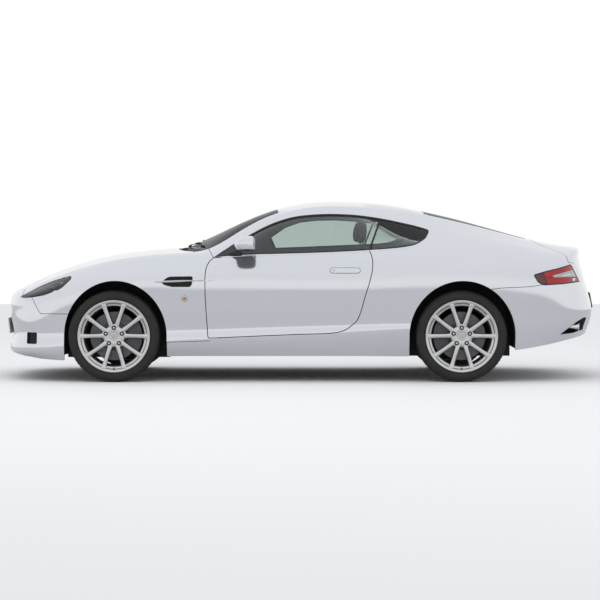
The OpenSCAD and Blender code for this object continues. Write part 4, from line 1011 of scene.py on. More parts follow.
# ------------------------------------------------------------------ headlights
def lamp_round(x, z, r, depth, glow=True, bez="reflector", lens=True):
    """bowl, bezel ring and bulb, its axis square to the side skin turned forward"""
    parts = [rev_obj([(r * 1.20, 0.004), (r * 1.14, 0.008), (r * 1.02, 0.006), (r, 0.0), (r * 0.92, -depth * 0.35), (r * 0.6, -depth * 0.8), (r * 0.2, -depth), (0.0001, -depth), (0.0001, -depth - 0.004), (r * 1.10, -depth * 0.6), (r * 1.20, -0.004)], 48, M[bez], "bowl")]
    parts.append(rev_obj([(0.0001, -depth * 0.35), (r * 0.26, -depth * 0.42), (r * 0.40, -depth * 0.65), (r * 0.42, -depth * 0.98), (0.0001, -depth * 0.98)], 32, M["chrome"], "bulb", closed=False))
    if bez == "headgrey": parts.append(rev_obj([(0.0001, 0.004), (r * 0.45, 0.002), (r * 0.72, -0.003), (r * 0.74, -0.010), (0.0001, -0.010)], 40, M["lampglow"], "glow", closed=False)); lens = False
    if lens: parts.append(rev_obj([(0.0001, -0.001), (r * 0.55, -0.002), (r * 0.97, -0.005), (r * 0.97, -0.008), (0.0001, -0.004)], 40, M["proj"], "proj", closed=False))
    return parts

M["proj"] = glass_mat("projector", (0.86, 0.88, 0.90))
HEAD_IN = offset_poly(HEAD, -5)
M["headgrey"] = mat("lamp_grey", (0.11, 0.12, 0.12), 0.25, metal=0.4, var=0.12, vscale=25, coat=0.5, bump=0.05, bscale=100)
HEAD_OPEN = span([(2088, 646), (2020, 680), (1970, 704), (1917, 726), (1870, 744), (1830, 757), (1788, 770), (1756, 780)], 3) + [(1747, 777)] + span([(1748, 768), (1774, 746), (1815, 711), (1874, 685), (1933, 663), (1981, 653), (2032, 645), (2088, 646)], 3)[:-1]
FRIT_IN = [(200, 998), (0, 1005), (-361, 1020), (-535, 1027), (-660, 1034), (-723, 1041), (-780, 1060), (-815, 1082), (-832, 1113), (-806, 1136), (-752, 1153), (-690, 1172), (-622, 1190), (-578, 1200), (-434, 1214), (-289, 1223), (-145, 1221), (0, 1205), (120, 1162), (236, 1082)]
def frit(cutter, keep_in):
    """dark printed border on the inside of the side glass"""
    o = common(wall(9.3, 10.5, False), Y(WINDOW, -4, 300)); o = cut(o, Y(FRIT_IN, 0, 300))
    o = common(o, Y(DOORWIN, -2)) if keep_in else cut(o, Y(DOORWIN, 4))
    o = cut(o, Y([(484, 700), (484, 1400), (800, 1400), (800, 700)])); clean(o)
    o.data.materials.clear(); o.data.materials.append(M["frit"]); return o
fq = frit(None, False); put(joined("glass_border_fixed", [fq, mirrored(fq)]), "glass_border_fixed", CH, "glass", (), None, 30)
fd = frit(None, True); fd2 = mirrored(fd)
put(fd, "glass_border_left", "door_left_body", "glass", (), None, 30); put(fd2, "glass_border_right", "door_right_body", "glass", (), None, 30)
def head_unit():
    """floor of the lamp bowl, its side walls and the lamps"""
    shell = common(wall(52, 58, False), Y(HEAD_IN, 0, 300))
    keep = Z([(1600, 60), (1600, 900), (2200, 900), (2200, 60)], 0, 400, 1000)
    shell = common(shell, keep); shell = cut(shell, Z(BONNET, 6, 600, 1300)); clean(shell)
    shell.data.materials.clear(); shell.data.materials.append(M["lamp_in"]); shade(shell, 30, True, 0.05)
    out = [shell]
    fwd = (0.55, 0.83, 0.12)
    for x, z, r, dp, bz in ((1878, 712, 0.027, 0.026, "headgrey"), (1937, 680, 0.013, 0.014, "headgrey"), (1808, 740, 0.024, 0.018, "pinkish")):
        p, nn = skin_pt(x, z)
        for q in lamp_round(x, z, r, dp, bez=bz):
            d = Vector((0.42, 0.88, 0.22)).normalized()
            m4 = Matrix.Translation(p - nn * 0.014 - d * r * 0.6) @ Vector((0, 1, 0)).rotation_difference(d).to_matrix().to_4x4()
            xform(q, m4); out.append(q)
    for x, z, r in ((1966, 668, 0.010), (1985, 683, 0.008)):
        p, nn = skin_pt(x, z)
        q = rev_obj([(0.0001, 0.006), (r * 0.6, 0.005), (r, 0.0), (r, -0.014), (0.0001, -0.014)], 24, M["orange"], "marker", closed=False)
        xform(q, Matrix.Translation(p - nn * 0.020) @ Vector((0, 1, 0)).rotation_difference(nn).to_matrix().to_4x4()); out.append(q)
    # grey fin ahead of the lamps
    fin = slab([(1950, 668), (2010, 655), (2085, 643), (2110, 640), (2075, 655), (2020, 682), (1975, 706), (1962, 690)], 14, 20, M["headgrey"], "fin")
    out.append(fin)
    return out
M["lampglow"] = mat("lamp_lens_bright", (0.92, 0.93, 0.95), 0.10, coat=1.0, var=0.02, bump=0.02, bscale=60, emit=(0.9, 0.95, 1.0), emit_s=0.45)
M["pinkish"] = mat("indicator_bowl", (0.62, 0.46, 0.42), 0.22, metal=0.8, var=0.08, vscale=40, bump=0.1, bscale=200)
M["headgrey"] = mat("lamp_grey", (0.11, 0.12, 0.12), 0.25, metal=0.4, var=0.12, vscale=25, coat=0.5, bump=0.05, bscale=100)
hu = joined("head_unit", head_unit()); hu2 = mirrored(hu)
h = joined("headlight_units", [hu, hu2]); put(h, "headlight_units", CH, "lamp_housing", ["headlights"], None, 38)
lens = common(wall(0.5, 4.5), Y(HEAD, -2.2, 300)); lens = common(lens, Z([(1600, 60), (1600, 900), (2200, 900), (2200, 60)], 0, 400, 1000)); lens = cut(lens, Z(BONNET, 4, 600, 1300)); clean(lens)
lens2 = mirrored(lens); lens = joined("headlight_covers", [lens, lens2]); lens.data.materials.clear(); lens.data.materials.append(M["lens"]); shade(lens, 30, True, 0.012)
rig.ride(lens, CH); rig.replaces(lens, "headlight_lenses"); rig.slot(lens, "lamp_glass")

# ------------------------------------------------------------------ tail lights
TL_DARK = [(-1757, 808), (-1828, 832), (-1861, 746), (-1833, 730), (-1790, 752)]
TL_GREY = [(-1903, 803), (-2080, 843), (-2108, 790), (-1916, 787)]
TL_CLEAR = [(-2074, 778), (-2102, 780), (-2092, 758), (-2072, 757)]

def tail_piece(P, a, b, m, nm, sub=(), g=0.0):
    o = common(wall(a, b), Y(P, g, 300)); o = common(o, Y(TAILL, -2.4, 300))
    for q in sub: o = cut(o, Y(q, 0, 300))
    o = cut(o, X(LID_B, 5, -2400, -2040)); o = cut(o, Z(LID, 5, 890)); clean(o)
    o.data.materials.clear(); o.data.materials.append(m); o.name = nm; shade(o, 30, True, 0.02); return o
tl = [tail_piece(TAILL, 14, 26, M["gloss_black"], "tl_back"),
      tail_piece(TL_DARK, 1.0, 9, M["darkred"], "tl_dark", g=-1.2),
      tail_piece([(-1800, 900), (-2300, 900), (-2300, 700), (-1830, 700), (-1863, 746), (-1830, 832)], 0.6, 9, M["red"], "tl_red", (offset_poly(TL_GREY, 2.2), offset_poly(TL_CLEAR, 2.0), [(-1861, 783.5), (-1861, 786), (-1905, 788), (-1905, 785.5)])),
      tail_piece(TL_GREY, 0.8, 9, M["greylens"], "tl_grey", (offset_poly([(-1952, 798), (-2052, 818), (-2062, 803), (-1955, 793)], 0),)),
      tail_piece([(-1952, 798), (-2052, 818), (-2062, 803), (-1955, 793)], 1.2, 9, M["clearlens"], "tl_grey2", g=-1.0),
      tail_piece(TL_CLEAR, 0.8, 9, M["clearlens"], "tl_clear")]
# black edge round the lamp
edge = common(wall(0.2, 12), Y(TAILL, -2.4, 300)); edge = cut(edge, Y(TAILL, -7.0, 300)); edge = cut(edge, X(LID_B, 5, -2400, -2040)); edge = cut(edge, Z(LID, 5, 890)); clean(edge)
edge.data.materials.clear(); edge.data.materials.append(M["gloss_black"]); shade(edge, 30, True, 0.02); tl.append(edge)
t = joined("tl_left", tl); t2 = mirrored(t); t = joined("tail_light_units", [t, t2]); put(t, "tail_light_units", CH, "tail_lamp", ["tail_lights"], None, 32)

# ------------------------------------------------------------------ side vents with the strake
def vent_parts():
    out = []
    back = common(wall(16, 24), Y(VENT, -1.5, 60)); clean(back); back.data.materials.clear(); back.data.materials.append(M["black"]); out.append(back)
    lip = common(wall(0.8, 18), Y(VENT, -0.8, 60)); lip = cut(lip, Y(offset_poly(VENT, -5.5), 0, 60)); clean(lip); lip.data.materials.clear(); lip.data.materials.append(M["gloss_black"]); shade(lip, 30, True, 0.01); out.append(lip)
    for z in (731, 743, 777, 788):
        lo = [(1006, z), (822, z - 6), (822, z - 2), (1006, z + 4)]
        s = common(wall(8, 16), Y(lo, 0, 60)); s = common(s, Y(VENT, -5, 60)); clean(s); s.data.materials.clear(); s.data.materials.append(M["black"]); out.append(s)
    st = []
    return out
v = joined("vent_l", vent_parts()); v2 = mirrored(v); v = joined("side_vent_grilles", [v, v2]); put(v, "side_vent_grilles", CH, "black_plastic", ["side_vents"], None, 35)
def strake(): 
    P = resample([(1098, 754), (1040, 757), (950, 760), (860, 763), (760, 766), (712, 767)], 12)
    rings = []; n = len(P)
    for i, q in enumerate(P):
        p, nn = skin_pt(*q); a, _ = skin_pt(*P[max(0, i - 1)]); b, _ = skin_pt(*P[min(n - 1, i + 1)])
        t_ = (b - a).normalized(); s = nn.cross(t_).normalized()
        k = i / (n - 1); w = 0.0008 + 0.0078 * math.sin(math.pi * min(1, k * 1.15 + 0.02)) ** 0.6 if k < 0.85 else 0.0060; h = 0.004 + 0.005 * math.sin(math.pi * k)
        rings.append([tuple(p + s * u * w + nn * v_) for u, v_ in ((-1, -0.010), (-1, h * 0.5), (-0.5, h * 0.93), (0, h), (0.5, h * 0.93), (1, h * 0.5), (1, -0.010))])
    return loft(rings, M["satin_metal"], "strake")
put(joined("vent_strakes", pair(strake)), "vent_strakes", CH, "chrome", (), None, 50)
def strake_door():
    P = resample([(704, 767.3), (668, 767.5), (634, 768)], 8); rings = []; n = len(P)
    for i, q in enumerate(P):
        p, nn = skin_pt(*q); a, _ = skin_pt(*P[max(0, i - 1)]); b, _ = skin_pt(*P[min(n - 1, i + 1)])
        t_ = (b - a).normalized(); s = nn.cross(t_).normalized(); w = 0.0060 * (1 - 0.85 * (i / (n - 1)) ** 1.5); h = 0.0045 * (1 - 0.7 * i / (n - 1))
        rings.append([tuple(p + s * u * w + nn * v_) for u, v_ in ((-1, -0.002), (-1, h * 0.5), (-0.5, h * 0.93), (0, h), (0.5, h * 0.93), (1, h * 0.5), (1, -0.002))])
    return loft(rings, M["chrome"], "strake_door")
a = strake_door(); b = mirrored(a)
put(a, "strake_end_left", "door_left_body", "chrome", (), None, 50); put(b, "strake_end_right", "door_right_body", "chrome", (), None, 50)

# ------------------------------------------------------------------ side repeater lamps
def side_lamp():
    out = [rev_obj([(0.0225, -0.018), (0.0225, 0.0), (0.0215, 0.0030), (0.0175, 0.0044), (0.0125, 0.0036), (0.0112, 0.0), (0.0112, -0.018)], 48, M["cream_ring"], "ring"),
           rev_obj([(0.0001, 0.0030), (0.0060, 0.0026), (0.0095, 0.0012), (0.0110, -0.001), (0.0110, -0.018), (0.0001, -0.018)], 40, M["orange"], "lens", closed=False)]
    for o in out: on_skin(o, 867, 630)
    return joined("side_lamp", out)
M["cream_ring"] = mat("lamp_ring", (0.78, 0.74, 0.66), 0.18, metal=0.9, var=0.04, vscale=60, bump=0.03, bscale=200)
put(joined("side_lamps", pair(side_lamp)), "side_lamps", CH, "chrome", (), None, 40)

# ------------------------------------------------------------------ window trim: chrome outside, rubber inside
TRIM_TOP = [p for p in span(WIN_TOP, 3)]
TRIM_BOT = span(WIN_BOT, 3)
def win_trim_fixed():
    top = TRIM_TOP + [(-976, 1146), (-979, 1138), (-976, 1126)] + [p for p in TRIM_BOT if p[0] < -552]
    L = offset_line(top, 5.0); R = offset_line(top, -3.0)
    return [bead(L, 10, 2.5, 9, M["chrome"], "chrome_top", step=16), bead(offset_line(top, -5.0), 12, -0.5, 9, M["seal"], "seal_top", step=16)]
def offset_line(P, d):
    """shift an open (x, z) line sideways: +d is outwards for the window outline run from front over the top to the back"""
    P = [np.array(p, float) for p in P]; out = []
    for i in range(len(P)):
        a = P[max(0, i - 1)]; b = P[min(len(P) - 1, i + 1)]; t = (b - a) / max(1e-9, np.linalg.norm(b - a))
        out.append(tuple(P[i] + np.array([t[1], -t[0]]) * -d * -1))
    return out
def sgn_check():
    L = offset_line([(100, 1000), (0, 1100), (-100, 1150)], 5.0)
    return L
def belt_trim():
    P = [p for p in TRIM_BOT if -552 <= p[0] <= 640]
    return [bead(offset_line(P, 6.0), 10, 3.0, 6, M["chrome"], "belt", step=16), bead(offset_line(P, -5.0), 9, -1.0, 7, M["seal"], "belt_seal", step=16)]
tw = joined("trim_w", win_trim_fixed()); put(joined("window_trim", [tw, mirrored(tw)]), "window_trim", CH, "chrome", (), None, 50)
bt = joined("belt", belt_trim()); b2 = mirrored(bt)
put(bt, "belt_trim_left", "door_left_body", "chrome", (), None, 50); put(b2, "belt_trim_right", "door_right_body", "chrome", (), None, 50)
def pillar_seal():
    P = [(-609, 1223), (-590, 1172), (-570, 1118), (-552, 1070), (-540, 1040), (-532, 1006)]
    return bead(P, 13, -1.0, 9, M["seal"], "pillar", step=10)
put(joined("pillar_seals", pair(pillar_seal)), "pillar_seals", CH, "black_plastic", (), None, 45)

# ------------------------------------------------------------------ sails and mirrors
sail = common(wall(1.0, 14), Y(WINDOW, -GAP / 2, 300)); sail = common(sail, Y([(496, 700), (496, 1400), (800, 1400), (800, 700)])); clean(sail)
sail.data.materials.clear(); sail.data.materials.append(M["gloss_black"]); shade(sail, 30, True, 0.012)
def mirror_housing():
    secs = []
    for k in range(13):
        t = k / 12.0; y = 0.842 + 0.168 * t
        w = 0.079 * (1 - (abs(t - 0.42) / 0.62) ** 3.2) ** 0.5 if abs(t - 0.42) < 0.62 else 0.004
        h = 0.060 * (1 - (abs(t - 0.45) / 0.60) ** 3.0) ** 0.5 if abs(t - 0.45) < 0.60 else 0.004
        cx = 0.420 - 0.016 * t; cz = 1.041 + 0.004 * t
        w = max(w, 0.010); h = max(h, 0.010)
        ring = []
        for a in range(28):
            th = 2 * math.pi * a / 28; c, s = math.cos(th), math.sin(th)
            ex = abs(c) ** 0.80 * (1 if c > 0 else -1) if c > 0 else -abs(c) ** 0.35; ez = abs(s) ** 0.80 if s > 0 else -abs(s) ** 0.55
            px = cx + w * (ex if ex > 0 else 0.96 * ex); pz = cz + h * ez * (1.0 - 0.30 * max(0, ex) * (1 if ez > 0 else 0.15))
            ring.append((px, y, pz))
        secs.append(ring)
    o = subdiv(loft(secs, M["paint"], "mirror_shell"), 1); o.data.materials.append(M["black"])
    for p_ in o.data.polygons:
        if p_.center.z < 1.001: p_.material_index = 1
    return o
def mirror_foot():
    P = [(0.505, 0.778, 0.958), (0.492, 0.806, 0.966), (0.470, 0.840, 0.976), (0.448, 0.876, 0.992), (0.436, 0.900, 1.004)]
    R = [0.050, 0.046, 0.038, 0.032, 0.030]; rings = []
    for (x, y, z), r in zip(P, R):
        rings.append([(x + r * math.cos(2 * math.pi * a / 20) * 0.95, y + 0.004 * math.cos(2 * math.pi * a / 20), z + 0.36 * r * math.sin(2 * math.pi * a / 20)) for a in range(20)])
    return subdiv(loft(rings, M["black"], "mirror_foot"), 1)
def mirror_glass():
    rings = []
    for s, d in ((1.0, 0.0), (0.97, -0.003), (0.0, -0.003)):
        ring = []
        for a in range(28):
            th = 2 * math.pi * a / 28; c, q = math.cos(th), math.sin(th)
            ring.append((0.3405 + d, 0.918 + 0.060 * s * abs(c) ** 0.8 * (1 if c > 0 else -1), 1.043 + 0.043 * s * abs(q) ** 0.8 * (1 if q > 0 else -1)))
        rings.append(ring)
    return loft(rings, M["reflector"], "mirror_glass")
def mirror_seam():
    ring = []
    return []
mr = joined("mirror_l", [mirror_housing(), mirror_foot(), mirror_glass(), sail]); mr2 = mirrored(mr)
put(mr, "mirror_unit_left", "door_left_body", "paint", ["mirror_left"], None, 40); put(mr2, "mirror_unit_right", "door_right_body", "paint", ["mirror_right"], None, 40)

# ------------------------------------------------------------------ door handles
def stadium_on_skin(x0, x1, z, R, prof, m, nm):
    """rounded flat lozenge lying on the skin between x0 and x1, prof: (across, height) from edge to edge"""
    rings = []; c0, c1 = x0 - R, x1 + R
    xs = [c0 + R * math.cos(a) for a in np.linspace(0.12, math.pi / 2, 8)] + list(np.linspace(c0, c1, 10))[1:-1] + [c1 - R * math.sin(a) for a in np.linspace(0, math.pi / 2 - 0.12, 8)]
    for x in xs:
        d = max(0.0, x - c0, c1 - x); w = math.sqrt(max(R * R - d * d, 1e-4)) / 1000.0
        p, nn = skin_pt(x, z); s_ = nn.cross(Vector((-1, 0, 0))).normalized()
        rings.append([tuple(p + s_ * u * w + nn * v_) for u, v_ in prof])
    return loft(rings, m, nm)
def handle():
    gap_ = stadium_on_skin(-224.5, -455.5, 841, 23.0, ((-1, -0.003), (-1, 0.0004), (0, 0.0005), (1, 0.0004), (1, -0.003)), M["seal"], "gap")
    flap = stadium_on_skin(-227.5, -452.5, 841, 20.0, ((-1, -0.003), (-1, 0.0012), (-0.93, 0.0022), (-0.5, 0.0030), (0, 0.0033), (0.5, 0.0030), (0.93, 0.0022), (1, 0.0012), (1, -0.003)), M["paint"], "flap")
    out = [gap_, flap]
    for x, r_, m in ((-256, 0.0042, "seal"), (-428, 0.0060, "chrome")):
        k = rev_obj([(0.0001, 0.0044), (r_ * 0.7, 0.0042), (r_, 0.0036), (r_ * 1.02, -0.001), (0.0001, -0.001)], 24, M[m], "dot", closed=False)
        on_skin(k, x, 841); out.append(k)
    return joined("handle", out)
M["cup"] = mat("handle_cup", (0.20, 0.205, 0.215), 0.35, metal=0.5, var=0.1, vscale=20, bump=0.05, bscale=200)
a = handle(); b = mirrored(a)
put(a, "handle_left", "door_left_body", "paint", (), None, 40); put(b, "handle_right", "door_right_body", "paint", (), None, 40)

# ------------------------------------------------------------------ nose: grille, intakes, plate
def recol(o, m, ang=35, skin=False, depth=0.03):
    clean(o); o.data.materials.clear(); o.data.materials.append(m); shade(o, ang, skin, depth); return o
gr = [recol(common(wall(42, 48, False), X(GRILLE, 10, 1900)), M["under"])]
bars = None
for z in (476, 503, 530, 557):
    b_ = common(wall(8, 30, False), X([(-430, z - 5.5), (430, z - 5.5), (430, z + 5.5), (-430, z + 5.5)], 0, 1900)); b_ = common(b_, X(GRILLE, 2, 1900)); gr.append(recol(b_, M["satin_metal"], 30))
for k in range(-8, 9):
    y = k * 46
    b_ = common(wall(26, 32, False), X([(y - 2, 440), (y + 2, 440), (y + 2, 600), (y - 2, 600)], 0, 1900)); gr.append(recol(common(b_, X(GRILLE, 2, 1900)), M["satin_metal"], 30))
su = common(wall(-3.0, 16), X(GRILLE, 6, 1990)); su = cut(su, X(GRILLE, -2.5, 1980)); gr.append(recol(su, M["chrome"], 32))
lw = [recol(common(wall(40, 46, False), X(INTAKE, 8, 1900)), M["under"])]
for z in (289, 303, 318):
    b_ = common(wall(14, 26, False), X([(-430, z - 3), (430, z - 3), (430, z + 3), (-430, z + 3)], 0, 1900)); lw.append(recol(common(b_, X(INTAKE, 1, 1900)), M["black"], 30))
put(joined("nose_grille", gr + lw), "nose_grille", CH, "grille_metal", ["grille"], None, 32)
def side_in():
    bk = recol(common(wall(24, 30, False), Y(SIDEIN, 6, 60)), M["under"])
    out = [bk]
    for z in (306, 328, 350):
        out.append(recol(common(common(wall(10, 20, False), Y([(1980, z - 2.5), (2080, z - 2.5), (2080, z + 2.5), (1980, z + 2.5)], 0, 60)), Y(SIDEIN, 1, 60)), M["black"]))
    return joined("side_in", out)
put(joined("side_intakes", pair(side_in)), "side_intakes", CH, "black_plastic", (), None, 35)
pl = rounded_box((-0.260, -0.0022, -0.0570), (0.260, 0.0022, 0.0570), 0.0018, 2, M["plate"], "plate")
fr_ = rounded_box((-0.264, -0.0060, -0.0605), (0.264, -0.0005, 0.0605), 0.0022, 2, M["plate"], "plate_frame")
b1 = [move(rev_obj([(0.0001, 0.0038), (0.0050, 0.0034), (0.0065, 0.0022), (0.0066, 0.001), (0.0001, 0.001)], 20, M["satin_metal"], "bolt", closed=False), x, 0, 0) for x in (-0.19, 0.19)]
pl = joined("blank_plate", [pl, fr_] + b1)
ang = math.atan2(14, 115)
xform(pl, Matrix.Translation((2.2735, 0, 0.3985)) @ Matrix.Rotation(ang, 4, 'Y') @ Matrix.Rotation(math.radians(-90), 4, 'Z'))
put(pl, "blank_plate_front", CH, "plate", ["front_plate"], None, 40)
pl2 = joined("blank_plate2", [rounded_box((-0.260, -0.0022, -0.0570), (0.260, 0.0022, 0.0570), 0.0018, 2, M["plate"], "plate"), rounded_box((-0.264, -0.0060, -0.0605), (0.264, -0.0005, 0.0605), 0.0022, 2, M["black"], "frame")])
pr, nr = SKIN.ray_cast(Vector((-3.0, 0.02, 0.600)), Vector((1, 0, 0)))[:2]
xform(pl2, Matrix.Translation((pr.x + 0.001, 0, 0.600)) @ Matrix.Rotation(math.radians(11), 4, 'Y') @ Matrix.Rotation(math.radians(90), 4, 'Z'))
put(pl2, "blank_plate_rear", CH, "plate", (), None, 40)

# ------------------------------------------------------------------ exhaust, reflectors, arch skirts
def tailpipe():
    a = rev_obj([(0.0375, 0.0), (0.0388, -0.0012), (0.0400, 0.0005), (0.0402, 0.004), (0.0400, 0.140), (0.0392, 0.1495), (0.0340, 0.1495), (0.0345, 0.030), (0.0365, 0.004)], 56, M["chrome"], "pipe")
    b = rev_obj([(0.0346, 0.018), (0.0346, 0.146), (0.0001, 0.146), (0.0001, 0.142), (0.0338, 0.142), (0.0338, 0.018)], 48, M["under"], "pipe_inner")
    o = joined("pipe", [a, b])
    return xform(o, Matrix.Translation((-2.137, 0.560, 0.406)) @ Matrix.Rotation(math.radians(-90), 4, 'Z'))
put(joined("exhaust_pipes", pair(tailpipe)), "exhaust_pipes", CH, "chrome", ["exhaust_tips"], None, 35)
def recess_wall():
    # dark tunnel behind the opening
    o = common(wall(T_SKIN, 120, False), Y(offset_poly(EXH, 9), 0, 470)); o = cut(o, Y(offset_poly(EXH, 1.5), 0, 476)); return recol(o, M["under"], 35)
rw = []
try:
    q = recess_wall(); rw = [q, mirrored(q)]
    put(joined("exhaust_recess", rw), "exhaust_recess", CH, "black_plastic", (), None, 35)
except RuntimeError:
    pass
def refl():
    return slab([(-2022, 396), (-2032, 408), (-2088, 446), (-2097, 444), (-2086, 432), (-2040, 400)], 0.5, 8, M["red"], "refl")
put(joined("rear_reflectors", pair(refl)), "rear_reflectors", CH, "tail_lamp", (), None, 35)

def arch_skirt():
    out = []
    for x0, x1, z0, z1 in ((1.000, 1.790, 0.165, 0.232), (-1.618, -0.826, 0.175, 0.250)):
        o = rounded_box((x0, 0.462, z0), (x1, 0.4735, z1), 0.003, 2, M["under"], "skirt"); out.append(o)
    return joined("skirt", out)
put(joined("arch_skirts", pair(arch_skirt)), "arch_skirts", CH, "black_plastic", (), None, 35)

# ------------------------------------------------------------------ scuttle and wipers
def top_pt(x, y, lift=0.0):
    loc, n, i_, d_ = SKIN.ray_cast(Vector((x, abs(y), 3.0)), Vector((0, 0, -1)))
    if loc is None: loc = SKIN.find_nearest(Vector((x, abs(y), 1.0)))[0]
    nn, _ = skin_normal(loc); p = loc + nn * lift
    if y < 0: p = Vector((p.x, -p.y, p.z)); nn = Vector((nn.x, -nn.y, nn.z))
    return p, nn
cw = recol(common(wall(4, 12), Z(COWL, -SHUT / 2, 700)), M["black"], 30, True, 0.016)
louv = []
for k in range(-11, 12):
    y = 0.045 * k
    P = [top_pt(0.868 + 0.0045 * 0 + 0.010 * (1 - abs(y) / 0.5), y, -0.003)[0], top_pt(0.930 - 0.05 * (abs(y) / 0.5) ** 2, y, -0.003)[0]]
    louv.append(tube([tuple(P[0]), tuple((P[0] + P[1]) / 2 + Vector((0, 0, 0.0006))), tuple(P[1])], 0.0035, M["seal"], "louvre", 6, ry=0.6))
put(joined("scuttle", [cw] + louv), "scuttle", CH, "black_plastic", ["cowl"], None, 30)
def wiper(yp, yt, xp=0.872, xt=0.800):
    """spindle, arm and blade parked along the foot of the glass"""
    out = []
    p0, n0 = top_pt(xp, yp, 0.004); cap = rev_obj([(0.0001, 0.010), (0.010, 0.009), (0.014, 0.004), (0.0145, -0.012), (0.0001, -0.012)], 24, M["black"], "spindle", closed=False)
    xform(cap, Matrix.Translation(p0) @ Vector((0, 1, 0)).rotation_difference(n0).to_matrix().to_4x4()); out.append(cap)
    A = []; B = []
    for k in range(13):
        t = k / 12.0; y = yp + (yt - yp) * t; y_e = y
        x = xp + (xt - xp) * min(1, t * 1.6) + (0 if abs(y) < 0.5 else -(abs(y) - 0.5) * 0.35)
        A.append(tuple(top_pt(x, y_e, 0.011 - 0.002 * t)[0]))
    out.append(tube(A[:9], [0.0075, 0.007, 0.0065, 0.006, 0.0055, 0.005, 0.0045, 0.0042, 0.004], M["black"], "arm", 8, ry=0.6))
    for k in range(21):
        t = 0.12 + 0.94 * k / 20.0; y = yp + (yt - yp) * t
        x = xp - 0.035 + (xt - xp) * min(1, t * 1.5) - (0 if abs(y) < 0.45 else (abs(y) - 0.45) * 0.42)
        B.append((x, y))
    out.append(tube([tuple(top_pt(x, y, 0.0075)[0]) for x, y in B], 0.0050, M["black"], "blade", 8, ry=0.8))
    out.append(tube([tuple(top_pt(x, y, 0.0045)[0]) for x, y in B], 0.0016, M["seal"], "lip", 6, ry=2.6))
    m_ = len(B) // 2; out.append(tube([A[8], tuple(top_pt(B[m_][0], B[m_][1], 0.009)[0])], 0.0045, M["black"], "clip", 8))
    return joined("wiper", out)
put(joined("wipers", [wiper(-0.05, 0.500), wiper(-0.560, -0.08)]), "wipers", CH, "black_plastic", (), None, 40)

# ------------------------------------------------------------------ lining of the cabin
hl = recol(common(wall(24, 34, False), Z(ROOF, -4, 1000)), M["headlining"] if "headlining" in M else mat("headlining", (0.10, 0.10, 0.102), 0.9, bump=0.5, bscale=700, sheen=0.2), 30)
pil = common(wall(T_SKIN + 0.5, 32, False), Y([(690, 985), (690, 1400), (-1350, 1400), (-1350, 900), (-560, 900), (-560, 985)]))
for P in (ROOF, WSCREEN, RWIN): pil = cut(pil, Z(P, 3))
pil = cut(pil, Y(WINDOW, 3)); pil = cut(pil, Y(DOOR, 12))
pil = recol(pil, mat("pillar_lining", (0.055, 0.056, 0.058), 0.8, bump=0.4, bscale=600), 30)
put(joined("headliner", [hl, pil]), "headliner", CH, "leather", (), None, 30)
cp = common(body(60, 0, False), Z([(765, -735), (765, 735), (-1085, 735), (-1085, -735)], 0, 236.5, 244)); cp = cut(cp, Z([(800, -131), (800, 131), (-1060, 131), (-1060, -131)], 0, 200, 300))
for sg in (1, -1): cp = cut(cp, Y(arch(-1222, -1640, -805, 415), 0, 466 if sg > 0 else -1200, 1200 if sg > 0 else -466))
cp = recol(cp, M["carpet"], 30); put(cp, "cabin_carpet", CH, "leather", (), None, 30)

# ------------------------------------------------------------------ dashboard, console and steering wheel
def soft_profile(P, y0, y1, m, r=0.018, n=4, name="soft"):
    """(x, z) outline in mm drawn across the car, its edges rounded"""
    Q = round_poly(P, r * 1000, n); Q = [(x / 1000, z / 1000) for x, z in Q]
    if area2(Q) < 0: Q = Q[::-1]
    cx = sum(q[0] for q in Q) / len(Q); cz = sum(q[1] for q in Q) / len(Q)
    rings = []
    for k in range(5):
        a = math.pi / 2 * k / 4; s = 1 - math.cos(a); e = r * (1 - math.sin(a)) * 0.6
        rings.append([(cx + (x - cx) * (1 - e / max(0.05, math.hypot(x - cx, z - cz))), y0 / 1000 + r * (1 - math.cos(a)) * 0.6 - 0 * s, cz + (z - cz) * (1 - e / max(0.05, math.hypot(x - cx, z - cz)))) for x, z in Q])
    mid = [[(p[0], y0 / 1000 + r + (y1 - y0 - 2000 * r) / 1000 * k / 6, p[2]) for p in rings[-1]] for k in range(7)]
    mid = [[(x, ring[0][1], z) for (x, _, z) in rings[-1]] for ring in mid]
    end = [[(x, y0 / 1000 + y1 / 1000 - y, z) for (x, y, z) in rg] for rg in rings[::-1]]
    return loft(rings + mid + end, m, name)
dash = [soft_profile([(765, 610), (765, 905), (735, 938), (650, 940), (545, 905), (462, 836), (440, 770), (476, 650), (560, 575), (700, 575)], -668, 668, M["trim_leather"], 0.022)]
dash.append(soft_profile([(520, 840), (430, 850), (402, 886), (430, 934), (520, 950), (600, 930)], 235, 505, M["trim_leather"], 0.02))
dash.append(soft_profile([(470, 900), (455, 905), (440, 800), (452, 790)], 250, 490, M["screen"], 0.006))
dash.append(soft_profile([(450, 620), (432, 800), (440, 860), (480, 872), (520, 860), (520, 620)], -140, 140, M["gloss_black"], 0.014))
dash.append(soft_profile([(440, 800), (430, 802), (428, 770), (438, 768)], -105, 105, M["screen"], 0.004))
for y in (-590, -205, 205, 590):
    o = rev_obj([(0.0340, 0.0), (0.0400, 0.002), (0.0420, -0.004), (0.0410, -0.020), (0.0001, -0.020), (0.0001, -0.012), (0.0330, -0.012)], 32, M["satin_metal"], "air_vent")
    xform(o, Matrix.Translation((0.452 if abs(y) > 300 else 0.446, y / 1000, 0.838)) @ Vector((0, 1, 0)).rotation_difference(Vector((-0.97, 0, 0.25))).to_matrix().to_4x4()); dash.append(o)
put(joined("dash_top", dash), "dash_top", CH, "black_plastic", ["dashboard"], None, 38)
